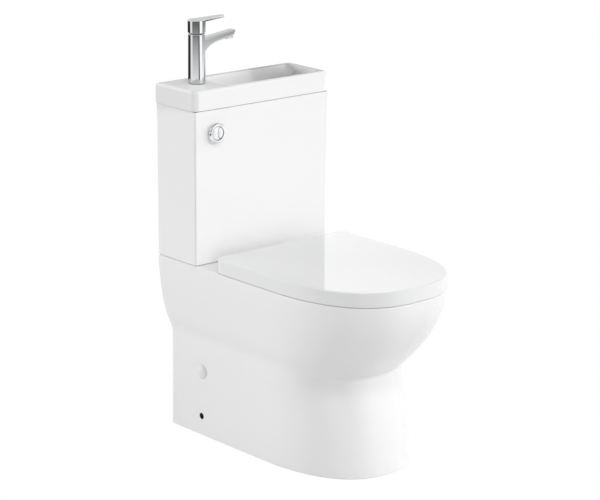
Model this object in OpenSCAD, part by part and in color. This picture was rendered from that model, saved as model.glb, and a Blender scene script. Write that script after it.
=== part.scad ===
// Close-coupled toilet whose cistern carries a small hand basin with its own tap.
// Millimetres. The wall is the plane y = 0 while a piece is drawn, the front is -Y,
// the floor is z = 0. The finished pieces are moved back by half the projection.

/* [Overall] */
// Wall to the front of the lid
projection = 633; // [600:1:680]
// Floor to the top of the pan's rim
rim_h = 400; // [390:1:440]
// Width of the cistern at its top
cistern_w = 376; // [350:1:400]
// Depth of the cistern at its top
cistern_d = 135; // [130:1:150]
// Height of the cistern
cistern_h = 337.5; // [320:0.5:400]
// Height of the basin's visible band
basin_h = 44.5; // [40:0.5:60]
// Joint line between ceramic pieces
joint_line = 1; // [0.8:0.1:2]

/* [Pan] */
// Thickness of the pan's outer wall
pan_wall = 13; // [11:0.5:15]
// Thickness of the bowl's own wall
bowl_wall = 10; // [8:0.5:12]
// Thickness of the deck and rim
deck_t = 18; // [16:1:22]
// Height of the crease between bowl and foot
neck_h = 210; // [200:1:225]
// How far the neck's side stands in from the rim's side
neck_in = 37.5; // [34:0.5:40]
// How far the neck's front stands back from the rim's front
neck_back = 120; // [110:1:125]
// How far the foot flares forward from neck to floor
foot_flare = 39; // [30:1:45]
// Rounded edge round the rim
rim_round = 3; // [2:0.5:4]
// Width of the ceramic rim at the bowl's side
rim_side = 55; // [50:1:62]
// Width of the ceramic rim at the bowl's front
rim_front = 40; // [36:1:48]
// Depth of the deck behind the bowl
deck_d = 252; // [248:1:262]
// Radius of the water way through the trap
trap_r = 28; // [26:1:30]
// Height of the outlet's axis
outlet_h = 180; // [176:1:186]
// Radius of the outlet spigot
spigot_r = 51; // [50:0.5:52]
// Radius of each side fixing hole
fixing_r = 7; // [6:0.5:8]
// Height of the side fixing holes
fixing_h = 44; // [40:1:55]
// Distance of the side fixing holes from the wall
fixing_y = 105; // [95:1:115]
// Height of the side covers
cover_h = 147; // [140:1:155]
// Radius of a side cover
cover_r = 17; // [15:0.5:19]

/* [Seat] */
// Height of the closed lid above the rim
lid_h = 31.5; // [30:0.5:36]
// Thickness of the lid's shell
lid_wall = 5; // [4:0.5:6]
// Gap between the cistern and the lid
lid_gap = 57; // [45:1:60]
// Radius of the lid's back corners
lid_corner = 26; // [12:1:30]
// Thickness of the seat ring
seat_t = 17; // [15:0.5:18]
// Half width of the seat's opening
seat_open_w = 108; // [100:1:114]
// Half the distance between the seat's fixing bolts
hinge_x = 77.5; // [75:0.5:80]
// Height of the hinge axis above the rim
hinge_h = 17; // [16.5:0.5:18]
// Radius of the hinge pin
hinge_pin_r = 3.5; // [3:0.25:4]

/* [Basin] */
// Thickness of the basin's ceramic
basin_wall = 12; // [10:0.5:13]
// Width of the tap deck, from the basin's side to the bowl
tap_deck_w = 97; // [92:1:110]
// Depth of the basin's bowl
basin_bowl_d = 79; // [70:1:84]
// How far the basin stands out past the cistern's side
basin_over = 2; // [1:0.5:3]
// Radius of the basin's front corners
basin_corner = 16; // [12:1:20]
// Radius of the basin's corners at the wall
basin_wall_corner = 3; // [2:0.5:8]
// Rounded edge round the basin's top
basin_round = 7.5; // [4:0.5:8.5]
// Radius of the waste's hole
waste_r = 20; // [18:0.5:22]

/* [Tap] */
// Height of the tap's body above its seal
tap_h = 106; // [95:1:115]
// Radius of the tap's body at its foot
tap_r = 19; // [18:0.25:21]
// Reach of the spout from the tap's axis
spout_reach = 101; // [98:1:115]
// Reach of the lever from the tap's axis
lever_reach = 74; // [70:1:85]
// Height of the lever's hub
hub_h = 28.5; // [25:0.5:31]

/* [Flush] */
// Distance of the flush button from the cistern's side
button_side = 57; // [51:1:66]
// Distance of the flush button below the cistern's top
button_down = 50.5; // [48:0.5:56]
// Radius of the button's bezel
bezel_r = 22; // [21:0.5:24]
// How far the bezel stands out of the cistern
bezel_out = 8; // [7:0.5:10]
// Travel of each button
button_travel = 6; // [4:0.5:6]
// Lift of the flush valve's piston
valve_travel = 20; // [15:1:24]
// Radius of the flush inlet in the pan
inlet_r = 26; // [24:0.5:28]
// Thickness of the cistern's wall
cistern_wall = 11; // [10:0.5:12]
// Thickness of the cistern's floor
cistern_floor = 14; // [12:1:16]
// Distance of the fill valve from the cistern's side
fill_side = 78; // [70:1:84]

/* [Hidden] */
$fn = 64;
eps = 0.01;
run_fit = 0.05; // radial clearance of what turns or slides in a bore
seat_fit = 0.3; // gap under a piece that rests on another body

// pan
rim_half = cistern_w / 2 - 2;
rim_front_y = projection - 1;
neck_half = rim_half - neck_in;
neck_front_y = rim_front_y - neck_back;
foot_half = neck_half + 1.5;
foot_front_y = neck_front_y + foot_flare;
rim_straight_y = rim_front_y - 272; // where the sides start to curve in
neck_straight_y = neck_front_y - 171;
foot_straight_y = foot_front_y - 246;
flare_power = 1.9; // how full the bowl's outside is
soft_crease = 0.15; // how far up the side crease fades, as a share of the bowl
sump_y = deck_d + 150; // middle of the bowl's lowest part
bowl_bottom_h = 150;
trap_bend = 45; // radius of the trap's bends, at the middle of the water way
trap_low_h = 85; // middle of the water way at its lowest
trap_weir_h = outlet_h + 13; // middle of the water way at the weir
trap_wall = 9;
spigot_bore_r = spigot_r - 8;
spigot_l = 48;
spigot_in = 12; // the spigot ends this far from the wall
horn_l = 50; // flush horn under the deck
horn_wall = 18;
channel_r = 14; // flush channel from the horn to the bowl
channel_wall = 8;
channel_down = 34; // middle of the channel below the rim
inlet_seat_d = 14; // recess for the doughnut washer
inlet_seat_w = 10;
bolt_slack = 1.5; // round the bolts in the pan and the pad
seat_bolt_r = 3;
seat_bolt_hole_r = 7;
cover_bore_r = 6;
cover_dome = 4;
over = 20; // how far a cutter stands out of what it cuts

// cistern
cistern_z = rim_h + joint_line;
cistern_top = cistern_z + cistern_h;
cistern_taper = 2;
cistern_corner = 4;
tank_floor_z = cistern_z + cistern_floor;
valve_y = cistern_d / 2; // flush and fill valves stand in the middle of the depth
partition_x = tap_deck_w - cistern_w / 2 + 2; // right face of the dry side's partition
partition_t = 8;
partition_down = 73; // partition ends this far below the cistern's top

// basin
basin_z = cistern_top + joint_line;
basin_top = basin_z + basin_h;
basin_half = cistern_w / 2 + basin_over;
basin_front_y = cistern_d;
bowl_x0 = -cistern_w / 2 + tap_deck_w;
bowl_x1 = cistern_w / 2 - 17;
bowl_floor_z = basin_top - basin_bowl_d;
bowl_shell = 9;
actuator_r = 20;
waste_x = actuator_r + waste_r + 15; // its tail hangs beside the flush actuator
waste_y = 71; // distance of the waste from the wall
bowl_corner = 20;

// tap
tap_x = -cistern_w / 2 + 65;
tap_y = 60;
tap_seal_t = 1;
tap_z = basin_top + tap_seal_t;
tap_top_r = tap_r - 0.75;
hub_gap = 3;
hub_z = tap_z + tap_h + hub_gap;
hub_r = tap_top_r + 1;
lever_rise = 2.5; // degrees
spout_slope = 0.135;
lever_t = 4.6;
cartridge_r = 16.5;
stem_r = 3.5;
pivot_down = 8; // the lever tilts this far below the body's top
shank_r = 14;
shank_bore_h = 14; // the shank is bored this far up into the body
tail_end_z = rim_h - 62;
tail_r = 5;
tail_gap = 6.2; // half the distance between the two tails
tail_socket = 12; // depth of each tail's threaded socket
supply_hole_r = 30; // hole for the tails through the cistern's floor and the pan's deck

// flush button
button_x = cistern_w / 2 - button_side;
button_z = cistern_top - button_down;
face_r = bezel_r - 6.5;
stem_offset = 7;
sleeve_r = 17.5;
housing_r = 19;
housing_y0 = cistern_d - cistern_wall - 12; // front end of the housing
housing_y1 = housing_y0 - 18 - 4 * button_travel; // room for the springs at full travel
spring_r = 5;
wire_r = 0.6;
spring_turns = 6;

// flush valve
actuator_top = bowl_floor_z - bowl_shell - 6;
tower_h = 145;
flush_tower_z = tank_floor_z + tower_h;
tower_wall = 3;
actuator_h = 52;
window_w = 16; // windows that let the water into the tower
window_h = 60;
piston_r = 13;
bolt_x = 62;
bolt_r = 4;

// fill valve
fill_x = cistern_w / 2 - fill_side;
fill_head_z = bowl_floor_z - bowl_shell - 38;
fill_tail_r = 10.4; // free threaded end of the fill valve's tail
fill_shank_r = 11;
fill_hole_r = 23; // room for the backnut in the pan's deck
float_h = 60;
float_travel = 14;
float_z = fill_head_z - float_h - float_travel - 4;

// seat
hinge_y = cistern_d + lid_gap + 5; // the lid's back edge is 5 behind the axis
hinge_z = rim_h + hinge_h;
knuckle_r = hinge_pin_r + 3;
knuckle_w = 11;
knuckle_gap = 0.5;
lid_back_y = cistern_d + lid_gap;
lid_half = rim_half - 1.3;
lid_z0 = rim_h + 1.2;
lid_z1 = rim_h + lid_h;
seat_z0 = rim_h + 4;
seat_z1 = seat_z0 + seat_t;
seat_in = lid_wall + 1.7; // the seat's edge stands in from the lid's
seat_back_y = hinge_y + 17.5;
pan_power = 2.6;
foot_power = 2.4;
hinge_slot = 20.5; // half width of the lid's cut-out round a hinge
hinge_base_r = 18;
seat_nut_h = 10;
front_buffer_y = rim_straight_y + 110;
back_buffer_y = seat_back_y + 60;
seat_ring_x = lid_half - 36; // middle of the seat ring's side
ring_turn_in = 16; // how far the ring has come in at the front buffers
lid_buffer_in = 10; // the lid's buffers stand nearer the middle
lid_buffer_step = 30; // and further forward at the back
buffer_r = 6;

// ---------- outlines and lofts ----------

// One ring of points: straight back and sides, superellipse front.
function d_ring(half, back_y, straight_y, front_y, power, corner, z, quarter = 16) = concat(
  [for (i = [0 : quarter]) let (a = 90 * i / quarter)
    [-half * pow(cos(a), 2 / power), -straight_y - (front_y - straight_y) * pow(sin(a), 2 / power), z]],
  [for (i = [quarter - 1 : -1 : 0]) let (a = 90 * i / quarter)
    [half * pow(cos(a), 2 / power), -straight_y - (front_y - straight_y) * pow(sin(a), 2 / power), z]],
  [for (i = [0 : 3]) let (a = 30 * i)
    [half - corner + corner * cos(a), -back_y - corner + corner * sin(a), z]],
  [for (i = [0 : 3]) let (a = 90 + 30 * i)
    [-half + corner + corner * cos(a), -back_y - corner + corner * sin(a), z]]
);

// One ring of points: a rectangle with round corners, those at y1 of their own radius if given.
function box_ring(x0, x1, y0, y1, corner, z, back = 0, steps = 6) =
  let (b = back > 0 ? back : corner) [
    for (c = [[x0 + corner, y0 + corner, corner, 180], [x1 - corner, y0 + corner, corner, 270],
              [x1 - b, y1 - b, b, 0], [x0 + b, y1 - b, b, 90]],
         i = [0 : steps])
      let (a = c[3] + 90 * i / steps)
      [c[0] + c[2] * cos(a), c[1] + c[2] * sin(a), z]
  ];

// Closed solid through rings that run counter-clockwise and climb.
module loft(rings) {
  n = len(rings[0]);
  levels = len(rings);
  polyhedron(
    points = [for (r = rings, p = r) p],
    faces = concat(
      [[for (i = [0 : n - 1]) i]],
      [[for (i = [n - 1 : -1 : 0]) (levels - 1) * n + i]],
      [for (k = [0 : levels - 2], i = [0 : n - 1])
        let (a = k * n + i, b = k * n + (i + 1) % n) [a, a + n, b + n]],
      [for (k = [0 : levels - 2], i = [0 : n - 1])
        let (a = k * n + i, b = k * n + (i + 1) % n) [a, b + n, b]]),
    convexity = 8);
}

module hexagon(across, h) {
  cylinder(r = across / 2 / cos(30), h = h, $fn = 6);
}

module ring(outer, inner, h) {
  difference() {
    cylinder(r = outer, h = h);
    translate([0, 0, -1]) cylinder(r = inner, h = h + 2);
  }
}

module both_sides() {
  children();
  mirror([1, 0, 0]) children();
}

// Cylinder along X, from x0 to x1.
module bar_x(x0, x1, r) {
  translate([x0, 0, 0]) rotate([0, 90, 0]) cylinder(r = r, h = x1 - x0);
}

// Cylinder along Y, from y0 to y1.
module bar_y(y0, y1, r) {
  translate([0, y0, 0]) rotate([-90, 0, 0]) cylinder(r = r, h = y1 - y0);
}

// The finished object stands over the middle of its own footprint.
module placed() {
  translate([0, projection / 2, 0]) children();
}

// ---------- pan ----------

function fullness(t) = 1 - pow(1 - t, flare_power);
function crease_fade(t) = 1 - exp(-pow(t / soft_crease, 2));

// The pan's outline at height z, moved inwards by inset.
function pan_ring(z, inset = 0, back_y = 0) =
  let (t = max(0, (z - neck_h) / (rim_h - neck_h)),
       s = min(1, z / neck_h),
       half = t > 0 ? neck_half + neck_in * fullness(t) * crease_fade(t)
                    : foot_half + (neck_half - foot_half) * s,
       front_y = t > 0 ? neck_front_y + neck_back * fullness(t)
                       : foot_front_y - foot_flare * s,
       straight_y = t > 0 ? neck_straight_y + (rim_straight_y - neck_straight_y) * t
                          : foot_straight_y + (neck_straight_y - foot_straight_y) * s,
       power = foot_power + (pan_power - foot_power) * t)
  d_ring(half - inset, back_y, straight_y, front_y - inset, power, 2.5, z);

function raised(ring_points, z) = [for (p = ring_points) [p[0], p[1], z]];

module pan_outside() {
  edge = rim_round;
  loft(concat(
    [raised(pan_ring(0, 1.5), 0), pan_ring(1.5)],
    [for (z = [neck_h / 4 : neck_h / 4 : neck_h - 1]) pan_ring(z)],
    [pan_ring(neck_h)],
    [for (i = [1 : 14]) pan_ring(neck_h + (rim_h - edge - neck_h) * pow(i / 14, 1.25))],
    [for (a = [30, 60, 90]) raised(pan_ring(rim_h - edge, edge * (1 - cos(a))),
                                   rim_h - edge + edge * sin(a))]));
}

// The bowl's inside, or its outside when wall is more than nothing.
function bowl_ring(u, wall) =
  let (s = pow(u, 1.8),
       z = rim_h - u * (rim_h - bowl_bottom_h),
       half = (rim_half - rim_side) * (1 - s) + trap_r * s + wall,
       back_y = deck_d * (1 - s) + (sump_y - trap_r) * s - wall,
       front_y = (rim_front_y - rim_front) * (1 - s) + (sump_y + trap_r) * s + wall,
       middle_y = (back_y * 0.56 + front_y * 0.44) * (1 - s) + sump_y * s)
  [for (i = [0 : 39]) let (a = 360 * i / 40, d = sin(a) < 0 ? front_y - middle_y : middle_y - back_y)
    [half * sign(cos(a)) * pow(abs(cos(a)), 0.85),
     -middle_y + d * sign(sin(a)) * pow(abs(sin(a)), 0.85), z]];

module bowl_solid(wall) {
  levels = 11;
  top = wall > 0 ? rim_h - 3 : rim_h + 2;
  loft(concat([for (i = [levels : -1 : 1]) bowl_ring(i / levels, wall)],
              [raised(bowl_ring(0, wall), top)]));
}

// Middle line of the water way, from the bowl's lowest part over the weir to the
// outlet: [y, z, heading in degrees from +Y].
function trap_line() =
  let (low = trap_low_h + trap_bend,
       lift = trap_weir_h - trap_bend,
       k = trap_bend * sin(45),
       rise_y = -sump_y + trap_bend + k,
       weir_y = rise_y + lift - low + 3 * k)
  concat(
    [[-sump_y, bowl_bottom_h + 20, -90]],
    [for (a = [180 : 15 : 315])
      [-sump_y + trap_bend + trap_bend * cos(a), low + trap_bend * sin(a), a + 90]],
    [for (a = [135 : -15 : 90])
      [weir_y + trap_bend * cos(a), lift + trap_bend * sin(a), a - 90]],
    [[-spigot_in - spigot_l - eps, trap_weir_h, 0]]);

module trap_path(r) {
  loft([for (p = trap_line())
    [for (i = [0 : 23]) let (b = 15 * i)
      [r * cos(b), p[0] + r * sin(b) * sin(p[2]), p[1] - r * sin(b) * cos(p[2])]]]);
}

// Cutter through the deck at x, y from the wall.
module deck_bore(x, y, r) {
  translate([x, -y, rim_h - deck_t - over]) cylinder(r = r, h = deck_t + 2 * over);
}

module pan() {
  color("white") difference() {
    union() {
      difference() {
        pan_outside();
        // hollow under the rim, open below and behind
        loft(concat([raised(pan_ring(0, pan_wall, -20), -2)],
                    [for (z = [neck_h / 3 : neck_h / 3 : neck_h + 1]) pan_ring(z, pan_wall, -20)],
                    [for (i = [1 : 5]) pan_ring(neck_h + (rim_h - deck_t - neck_h) * i / 5,
                                                pan_wall, -20)]));
      }
      bowl_solid(bowl_wall);
      trap_path(trap_r + trap_wall);
      translate([0, 0, outlet_h]) bar_y(-spigot_in - spigot_l - 14, -spigot_in, spigot_r);
      // flush horn under the deck
      translate([0, -valve_y, rim_h - horn_l - 6]) cylinder(r = inlet_r + horn_wall, h = horn_l);
      translate([0, 0, rim_h - channel_down]) bar_y(-deck_d - 2, -valve_y, channel_r + channel_wall);
    }
    bowl_solid(0);
    trap_path(trap_r);
    translate([0, 0, outlet_h]) bar_y(-spigot_in - spigot_l, 1, spigot_bore_r);
    translate([0, -valve_y, rim_h - horn_l + 4]) cylinder(r = inlet_r, h = horn_l + over);
    translate([0, -valve_y, rim_h - inlet_seat_d]) cylinder(r = inlet_r + inlet_seat_w, h = inlet_seat_d + over);
    translate([0, 0, rim_h - channel_down]) bar_y(-deck_d - 16, -valve_y, channel_r);
    // close-coupling bolts, fill valve, supply tails, seat bolts
    for (x = [-bolt_x, bolt_x]) deck_bore(x, valve_y, bolt_r + bolt_slack);
    deck_bore(fill_x, valve_y, fill_hole_r);
    deck_bore(tap_x, tap_y, supply_hole_r);
    for (x = [-hinge_x, hinge_x]) deck_bore(x, hinge_y, seat_bolt_hole_r);
    // covers and side fixings
    both_sides() translate([0, -fixing_y, cover_h]) bar_x(neck_half - pan_wall - 5, rim_half + 5, cover_bore_r);
    both_sides() translate([0, -fixing_y, fixing_h]) bar_x(neck_half - pan_wall - 5, rim_half + 5, fixing_r);
  }
}

// Push-in cover: a low dome with a stem in the pan's upper side hole.
module side_covers() {
  dome = cover_dome;
  sphere_r = (cover_r * cover_r + dome * dome) / 2 / dome;
  side = neck_half + (foot_half - neck_half) * (1 - cover_h / neck_h);
  color("white") both_sides() translate([side + 0.4, -fixing_y, cover_h]) {
    rotate([0, 90, 0]) rotate_extrude() intersection() {
      translate([0, dome - sphere_r]) circle(r = sphere_r, $fn = 180);
      square([cover_r, dome]);
    }
    bar_x(-pan_wall + 1, 0, cover_bore_r - 0.1);
  }
}

// ---------- cistern ----------

module cistern_pad() {
  inset = 3;
  color("dimgray") translate([0, 0, rim_h]) difference() {
    translate([-rim_half + inset, -cistern_d + cistern_taper + inset, 0])
      cube([2 * (rim_half - inset), cistern_d - cistern_taper - 2 * inset, joint_line]);
    translate([0, -valve_y, -over]) cylinder(r = inlet_r + inlet_seat_w, h = 2 * over);
    for (x = [-bolt_x, bolt_x]) translate([x, -valve_y, -over]) cylinder(r = bolt_r + bolt_slack, h = 2 * over);
    translate([fill_x, -valve_y, -over]) cylinder(r = fill_hole_r, h = 2 * over);
    translate([tap_x, -tap_y, -over]) cylinder(r = supply_hole_r, h = 2 * over);
  }
}

function cistern_ring(z, inset = 0) =
  let (k = cistern_taper * (cistern_top - z) / cistern_h)
  box_ring(-cistern_w / 2 + k + inset, cistern_w / 2 - k - inset,
           -cistern_d + k + inset, -inset, inset > 0 ? 10 : cistern_corner, z, 4);

module cistern() {
  color("white") difference() {
    loft([cistern_ring(cistern_z), cistern_ring(cistern_top)]);
    difference() {
      loft([cistern_ring(tank_floor_z, cistern_wall), cistern_ring(cistern_top + 1, cistern_wall)]);
      translate([partition_x - partition_t, -cistern_d, cistern_z])
        cube([partition_t, cistern_d, cistern_h - partition_down]);
    }
    translate([-button_x, 0, button_z]) bar_y(-cistern_d - 1, -cistern_d + cistern_wall + 5, sleeve_r + 0.5);
    translate([0, -valve_y, cistern_z - 1]) cylinder(r = inlet_r + 2, h = cistern_floor + 2);
    for (x = [-bolt_x, bolt_x]) translate([x, -valve_y, cistern_z - 1])
      cylinder(r = bolt_r + 1, h = cistern_floor + 2);
    translate([fill_x, -valve_y, cistern_z - 1]) cylinder(r = fill_shank_r + 1.1, h = cistern_floor + 2);
    translate([tap_x, -tap_y, cistern_z - 1]) cylinder(r = supply_hole_r, h = cistern_floor + 2);
  }
}

// ---------- basin ----------

module basin_gasket() {
  color("dimgray") translate([0, 0, cistern_top]) difference() {
    translate([-cistern_w / 2 + 3, -cistern_d + 3, 0]) cube([cistern_w - 6, cistern_d - 6, joint_line]);
    translate([-cistern_w / 2 + cistern_wall, -cistern_d + cistern_wall, -1])
      cube([cistern_w - 2 * cistern_wall, cistern_d - 2 * cistern_wall, joint_line + 2]);
  }
}

// The basin's outline, moved inwards by inset.
function basin_ring(z, inset = 0) =
  box_ring(-basin_half + inset, basin_half - inset, -basin_front_y + inset, -inset,
           max(2, basin_corner - inset), z, max(1, basin_wall_corner - inset));

// The basin's bowl at a share of its depth, wall thicker all round.
function basin_bowl_ring(u, wall, z) =
  let (lip = 2.5 * pow(1 - min(1, u * 8), 2))
  box_ring(bowl_x0 + 34 * u - lip - wall, bowl_x1 - 18 * u + lip + wall,
           -basin_front_y + 12.5 + 17 * u - lip - wall, -22 - 16 * u + lip + wall,
           bowl_corner + wall / 2, z);

module basin_bowl(wall) {
  levels = [1, 0.97, 0.8, 0.55, 0.3, 0.12];
  drop = [1, 0.9, 0.72, 0.5, 0.27, 0.11];
  loft(concat(
    [raised(basin_bowl_ring(1.25, wall, 0), bowl_floor_z - wall)],
    [for (i = [0 : 5]) basin_bowl_ring(levels[i], wall, basin_top - drop[i] * (basin_bowl_d + wall))],
    wall > 0 ? [raised(basin_bowl_ring(0.12, wall, 0), basin_top - 4)]
             : concat([for (u = [0.08, 0.04, 0]) basin_bowl_ring(u, 0, basin_top - u * basin_bowl_d)],
                      [raised(basin_bowl_ring(0, 1, 0), basin_top + 2)])));
}

module basin() {
  edge = basin_round;
  color("white") difference() {
    union() {
      difference() {
        loft(concat([basin_ring(basin_z, 0.8), basin_ring(basin_z + 0.8)],
                    [for (a = [0 : 18 : 90])
                      basin_ring(basin_top - edge + edge * sin(a), edge * (1 - cos(a)))]));
        loft([raised(basin_ring(0, basin_wall), basin_z - 1),
              raised(basin_ring(0, basin_wall), basin_top - basin_wall)]);
      }
      intersection() {
        basin_bowl(bowl_shell);
        translate([-basin_half, -basin_front_y + cistern_wall + 0.6, 0])
          cube([2 * basin_half, basin_front_y - cistern_wall - 2, basin_top - 2]);
      }
    }
    basin_bowl(0);
    translate([tap_x, -tap_y, basin_top - basin_wall - 1]) cylinder(r = 17, h = basin_wall + 2);
    translate([waste_x, -waste_y, bowl_floor_z - bowl_shell - 5]) cylinder(r = waste_r + 0.5, h = 30);
  }
}

// Free-running grid waste: flange, grid and threaded tail.
module basin_waste() {
  flange_r = waste_r + 9;
  color("silver") translate([waste_x, -waste_y, bowl_floor_z]) difference() {
    union() {
      cylinder(r1 = flange_r, r2 = flange_r - 1.5, h = 2);
      translate([0, 0, -58]) cylinder(r = waste_r, h = 59);
    }
    translate([0, 0, -59]) cylinder(r = waste_r - 2.5, h = 59);
    translate([0, 0, 0.9]) cylinder(r = waste_r - 1, h = 2);
    translate([0, 0, -1]) cylinder(r = 2.5, h = 3);
    for (a = [0 : 60 : 300]) rotate(a) translate([8, 0, -1]) cylinder(r = 2.5, h = 3);
    for (a = [0 : 30 : 330]) rotate(a + 15) translate([14.4, 0, -1]) cylinder(r = 2.2, h = 3);
  }
}

module waste_washer() {
  color("dimgray") translate([waste_x, -waste_y, bowl_floor_z - bowl_shell - 3.2])
    ring(waste_r + 8, waste_r, 3);
}

module waste_backnut() {
  color("silver") translate([waste_x, -waste_y, bowl_floor_z - bowl_shell - 11.2]) difference() {
    hexagon(2 * waste_r + 12, 8);
    translate([0, 0, -1]) cylinder(r = waste_r, h = 10);
  }
}

// Short plastic tail that drops the basin's water into the tank.
module waste_tailpipe() {
  color("whitesmoke") translate([waste_x, -waste_y, bowl_floor_z - 58]) {
    translate([0, 0, -8]) difference() {
      union() {
        cylinder(r = waste_r + 5, h = 20);
        translate([0, 0, -40]) cylinder(r = waste_r - 3, h = 41);
      }
      translate([0, 0, 8]) cylinder(r = waste_r + 0.05, h = 20);
      translate([0, 0, -41]) cylinder(r = waste_r - 5.5, h = 60);
    }
  }
}

// ---------- tap ----------

module at_tap(z) {
  translate([tap_x, -tap_y, z]) children();
}

module tap_base_seal() {
  color("dimgray") at_tap(basin_top) ring(tap_r - 0.8, shank_r, tap_seal_t);
}

// Top line of the spout and its depth below that line, at distance x.
function spout_top(x) = tap_h - 14 + spout_slope * x;
function spout_deep(x) = 12.8 + 16 * exp(-max(0, x - 14) / 14);

module spout() {
  steps = [4, 12, 17, 22, 28, 35, 44, 56, 70, 82, 89, spout_reach - 6, spout_reach - 2, spout_reach];
  loft([for (i = [0 : len(steps) - 1])
    let (x = steps[i], last = i == len(steps) - 1 ? 1.5 : 0,
         w = 12.5 - 2.5 * x / spout_reach - last,
         top = spout_top(x) - last, deep = spout_deep(x) - 2 * last,
         lean = 0.45 * max(0, x - 82) / (spout_reach - 82))
    // ring in the YZ plane, turned to run counter-clockwise about +X
    [for (c = [[w - 2, top - 2, 0], [-w + 2, top - 2, 90], [-w + 3, top - deep + 3, 180],
               [w - 3, top - deep + 3, 270]], k = [0 : 3])
      let (r = c[2] < 180 ? 2 : 3, z = c[1] + r * sin(c[2] + 30 * k))
      [x - lean * (top - z), c[0] + r * cos(c[2] + 30 * k), z]]]);
}

module tap_body() {
  color("silver") at_tap(tap_z) difference() {
    union() {
      cylinder(r1 = tap_r, r2 = tap_top_r, h = tap_h - 1);
      translate([0, 0, tap_h - 1]) cylinder(r1 = tap_top_r, r2 = tap_top_r - 0.8, h = 1);
      spout();
      translate([0, 0, -40]) cylinder(r = shank_r, h = 41);
    }
    translate([0, 0, tap_h - 42]) cylinder(r = cartridge_r + 0.05, h = 60);
    translate([0, 0, -41]) cylinder(r = shank_r - 1.5, h = 41 + shank_bore_h);
    for (x = [-tail_gap, tail_gap]) translate([x, 0, 0])
      cylinder(r = tail_r + run_fit, h = shank_bore_h + tail_socket);
    aerator_place() translate([0, 0, -20]) cylinder(r = 10.5, h = 20);
    aerator_place() translate([0, 0, -1]) cylinder(r = 9, h = 7);
  }
}

// The outlet's axis, square to the spout's underside.
module aerator_place() {
  x = spout_reach - 14;
  translate([x, 0, spout_top(x) - spout_deep(x)]) rotate([0, -atan(spout_slope), 0]) children();
}

module tap_aerator() {
  color("silver") at_tap(tap_z) aerator_place() difference() {
    union() {
      translate([0, 0, -4.2]) cylinder(r1 = 9.6, r2 = 10.2, h = 4.2);
      cylinder(r = 8.95, h = 5);
    }
    translate([0, 0, -6]) cylinder(r = 7.5, h = 4);
    for (a = [0 : 60 : 300]) rotate(a) translate([4.5, 0, -6]) cylinder(r = 1.2, h = 20);
  }
}

module tap_cartridge() {
  color("dimgray") at_tap(tap_z) difference() {
    union() {
      translate([0, 0, tap_h - 42]) cylinder(r = cartridge_r, h = 40);
      translate([0, 0, tap_h - 2]) cylinder(r1 = cartridge_r - 1.5, r2 = 12, h = 2.5);
    }
    translate([0, 0, tap_h - 14]) cylinder(r = 10 + run_fit, h = 20);
  }
}

// Turning core of the cartridge, slotted for the stem.
module tap_carrier() {
  color("lightgray") at_tap(tap_z) difference() {
    translate([0, 0, tap_h - 14]) cylinder(r = 10, h = 13.5);
    translate([-9, -stem_r - 0.6, tap_h - 11.9]) cube([13.2, 2 * stem_r + 1.2, 20]);
    translate([0, 0, tap_h - pivot_down]) rotate([90, 0, 0])
      translate([0, 0, -12]) cylinder(r = 1.5 + run_fit, h = 24);
  }
}

// Stem and its cross pin; they tilt with the lever.
module tap_stem() {
  color("silver") at_tap(tap_z) {
    translate([0, 0, tap_h - pivot_down]) cylinder(r = stem_r, h = pivot_down + hub_gap + hub_h - 6);
    translate([0, 0, tap_h - pivot_down]) sphere(r = stem_r);
    translate([0, 0, tap_h - pivot_down]) rotate([90, 0, 0]) translate([0, 0, -8.5]) cylinder(r = 1.5, h = 17);
  }
}

module lever_outline() {
  hull() {
    circle(r = hub_r - 1.5, $fn = 96);
    translate([lever_reach - 8, 0]) circle(r = 8, $fn = 48);
  }
}

// Slab under the lever's rising top face, down by depth.
module under_lever_top(depth) {
  translate([0, 0, hub_h - 1.2]) rotate([0, -lever_rise, 0])
    translate([-60, -40, -depth]) cube([200, 80, depth]);
}

module tap_lever() {
  boss_z = 2;
  roof_z = hub_h - 7;
  color("silver") at_tap(hub_z) {
    difference() {
      union() {
        intersection() {
          cylinder(r = hub_r, h = hub_h + 10);
          under_lever_top(hub_h + 30);
        }
        intersection() {
          linear_extrude(hub_h + 20) lever_outline();
          under_lever_top(lever_t);
        }
      }
      difference() {
        translate([0, 0, -1]) cylinder(r = hub_r - 2.1, h = roof_z + 1);
        translate([0, 0, boss_z]) cylinder(r = 7, h = hub_h);
      }
      translate([0, 0, boss_z - 1]) cylinder(r = stem_r, h = hub_h - 5 - boss_z);
    }
  }
}

module tap_washer() {
  color("dimgray") at_tap(basin_top - basin_wall - 3) ring(21, shank_r, 3);
}

module tap_backnut() {
  color("goldenrod") at_tap(basin_top - basin_wall - 11) difference() {
    hexagon(36, 8);
    translate([0, 0, -1]) cylinder(r = shank_r, h = 10);
  }
}

// Two supply tails, screwed into the body and straight down through the dry side
// of the cistern.
module tap_tails() {
  tail_l = tap_z + shank_bore_h + tail_socket - 1 - tail_end_z;
  color("silver") for (s = [-1, 1]) at_tap(tail_end_z) translate([s * tail_gap, 0, 0]) difference() {
    cylinder(r = tail_r, h = tail_l);
    translate([0, 0, -1]) cylinder(r = tail_r - 1.5, h = tail_l + 2);
  }
}

// Union nuts on the tails' lower ends; one hangs lower so that both can be turned.
module tail_nuts() {
  color("goldenrod") for (s = [-1, 1]) at_tap(tail_end_z + (s > 0 ? 22 : 0))
    translate([s * tail_gap, 0, 0]) difference() {
      hexagon(2 * tail_r + 2, 14);
      translate([0, 0, -1]) cylinder(r = tail_r, h = 16);
    }
}

// ---------- flush button ----------

module at_button() {
  translate([-button_x, 0, button_z]) children();
}

// The lens-shaped half-flush face, grown or shrunk by margin.
module lens(margin) {
  intersection() {
    circle(r = face_r - 0.35 + margin, $fn = 96);
    translate([face_r - 0.4, 0]) circle(r = face_r - 0.4 + margin, $fn = 96);
  }
}

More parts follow.
